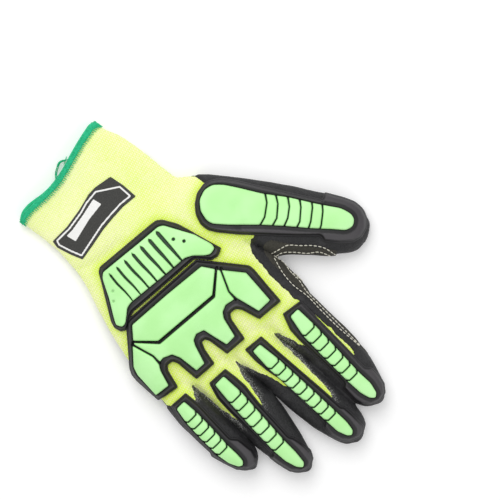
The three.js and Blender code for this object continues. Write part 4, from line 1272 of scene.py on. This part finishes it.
LOOSE_THREAD = [[(-57.2, 33), (-58.8, 35), (-58, 37)], [(-57, 36), (-59, 37.5), (-58.5, 39.5)]]
THUMB_SEAMS = [
    [(-85, 43), (-83, 35), (-79, 29), (-73, 23), (-67, 17), (-62, 15.5), (-57, 14)],
    [(-82, 41), (-79, 35), (-73, 30), (-67, 23), (-61, 18), (-57, 17)],
    [(-57, 17), (-58, 24), (-57, 30), (-57, 38), (-55.5, 45), (-55, 60), (-55, 78), (-55, 95)],
    [(-55.5, 18), (-53, 27), (-52, 37), (-53.5, 50), (-53.2, 62), (-53.3, 78), (-54.5, 95)],
]
crotch_stitches = sewn("crotch_stitches", THUMB_SEAMS + LOOSE_THREAD, COAT + PATCH + 0.1, 3.0,
                       (2.6, 0.7, 0.7), THREAD, 3)

# The hem's two rows of thread: pitch, how far in, how far off the knit, and lean
OVERLOCK_ROWS = [(1.4, 3.0, 1.0, 0.22), (0.8, 1.3, 1.0, 1.0)]
LOWEST = 0.6
# Its loose tail: one line, and the shifts of the strands that follow it
THREAD_TAIL = [(8, -117.5, 9), (6, -120.5, 7), (2, -123.5, 4), (-2, -125, 3), (-5, -123.8, 2)]
TAIL_STRANDS = [(0, 0, 0), (0.5, 0.3, 0.4), (0.9, -0.4, 0.2)]


def overlock():
    """Loops of thread across the hem with the knit between their ends, a rolled edge, and a loose tail."""
    points, runs, outs = [], [], []
    for pitch, inside, layer, lean in OVERLOCK_ROWS:
        for row in resampled(np.hstack(hem_ring(inside, layer)), pitch):
            place, away, inward = row[:3], row[3:6], row[6:]
            side = np.cross(away, inward)
            points.append(place + inward * RANDOM.normal(0, 0.2))
            runs.append(inward + side * (lean + RANDOM.normal(0, 0.08)))
            outs.append(away)
    tail = np.vstack([curve_through(THREAD_TAIL, 1.0) + shift for shift in TAIL_STRANDS])
    points = np.vstack((points, tail))
    points[:, 2] = np.maximum(points[:, 2], LOWEST)
    runs = np.vstack((runs, np.gradient(tail, axis=0)))
    outs = np.vstack((outs, np.tile((0.0, 0.0, 1.0), (len(tail), 1))))
    return lay_stitches("hem_overlock", points, runs, outs, (4.8, 0.65, 0.8), HEM, 5)


hem_loops = overlock()

# What each piece stands for, and the finish it has
pieces = [
    (knit_glove, "liner", "knit_yellow"), (rubber_dip, "palm_coating", "rubber_black"),
    (crotch_patch, "thumb_crotch_patch", "patch_black"), (hem, "cuff_hem", "hem_green"),
    (woven_label, "label", "label_black"), (crotch_stitches, None, "stitch_white"),
    (hem_loops, None, "hem_green"),
]
pieces += [(piece, node, "guard_black" if node.endswith("base") else "guard_lime") for piece, node in guards]
for piece, node, slot in pieces:
    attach(piece, "root")
    if node:
        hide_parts(node, *(f"liner_{name}" for name in fingers if node == "liner"))

# Floor, light and camera
floor_finish = Finish("floor", (0.95, 0.95, 0.95), 0.9, Emission_Color=(1, 1, 1, 1), Emission_Strength=0.14)
FLOOR_REACH = 1500
floor_corners = [(x * FLOOR_REACH, y * FLOOR_REACH, 0) for x, y in ((-1, -1), (1, -1), (1, 1), (-1, 1))]
floor = make("floor", floor_corners, [(0, 1, 2, 3)], floor_finish.material)

VIEW_CENTRE = Vector((-48.3, 2.3, 0)) * MM
VIEW_WIDTH = 325 * MM
VIEW_UP = Vector((-1, -1, 0)).normalized()
VIEW_RIGHT = Vector((-1, 1, 0)).normalized()


def area_light(name, place, size, power, aim=VIEW_CENTRE):
    light = bpy.data.lights.new(name, "AREA")
    light.shape, light.size, light.energy = "SQUARE", size, power
    made = bpy.data.objects.new(name, light)
    made.location = place
    made.rotation_euler = (Vector(aim) - Vector(place)).to_track_quat("-Z", "Y").to_euler()
    bpy.context.scene.collection.objects.link(made)


key_from = VIEW_CENTRE + VIEW_UP * 0.55 - VIEW_RIGHT * 0.25 + Vector((0, 0, 0.85))
fill_from = VIEW_CENTRE - VIEW_UP * 0.5 + VIEW_RIGHT * 0.5 + Vector((0, 0, 0.7))
area_light("key", key_from, 0.8, 5.4)
area_light("fill", fill_from, 0.9, 1.8)
world = bpy.context.scene.world or bpy.data.worlds.new("world")
bpy.context.scene.world = world
world.use_nodes = True
world.node_tree.nodes["Background"].inputs["Color"].default_value = (1, 1, 1, 1)
world.node_tree.nodes["Background"].inputs["Strength"].default_value = 0.6
bpy.context.scene.view_settings.view_transform = "Standard"

lens = bpy.data.cameras.new("camera")
lens.lens = 300
camera = bpy.data.objects.new("camera", lens)
camera.location = VIEW_CENTRE + Vector((0, 0, VIEW_WIDTH * lens.lens / lens.sensor_width))
camera.rotation_euler = (0, 0, math.atan2(-VIEW_UP.x, VIEW_UP.y))
bpy.context.scene.collection.objects.link(camera)
bpy.context.scene.camera = camera
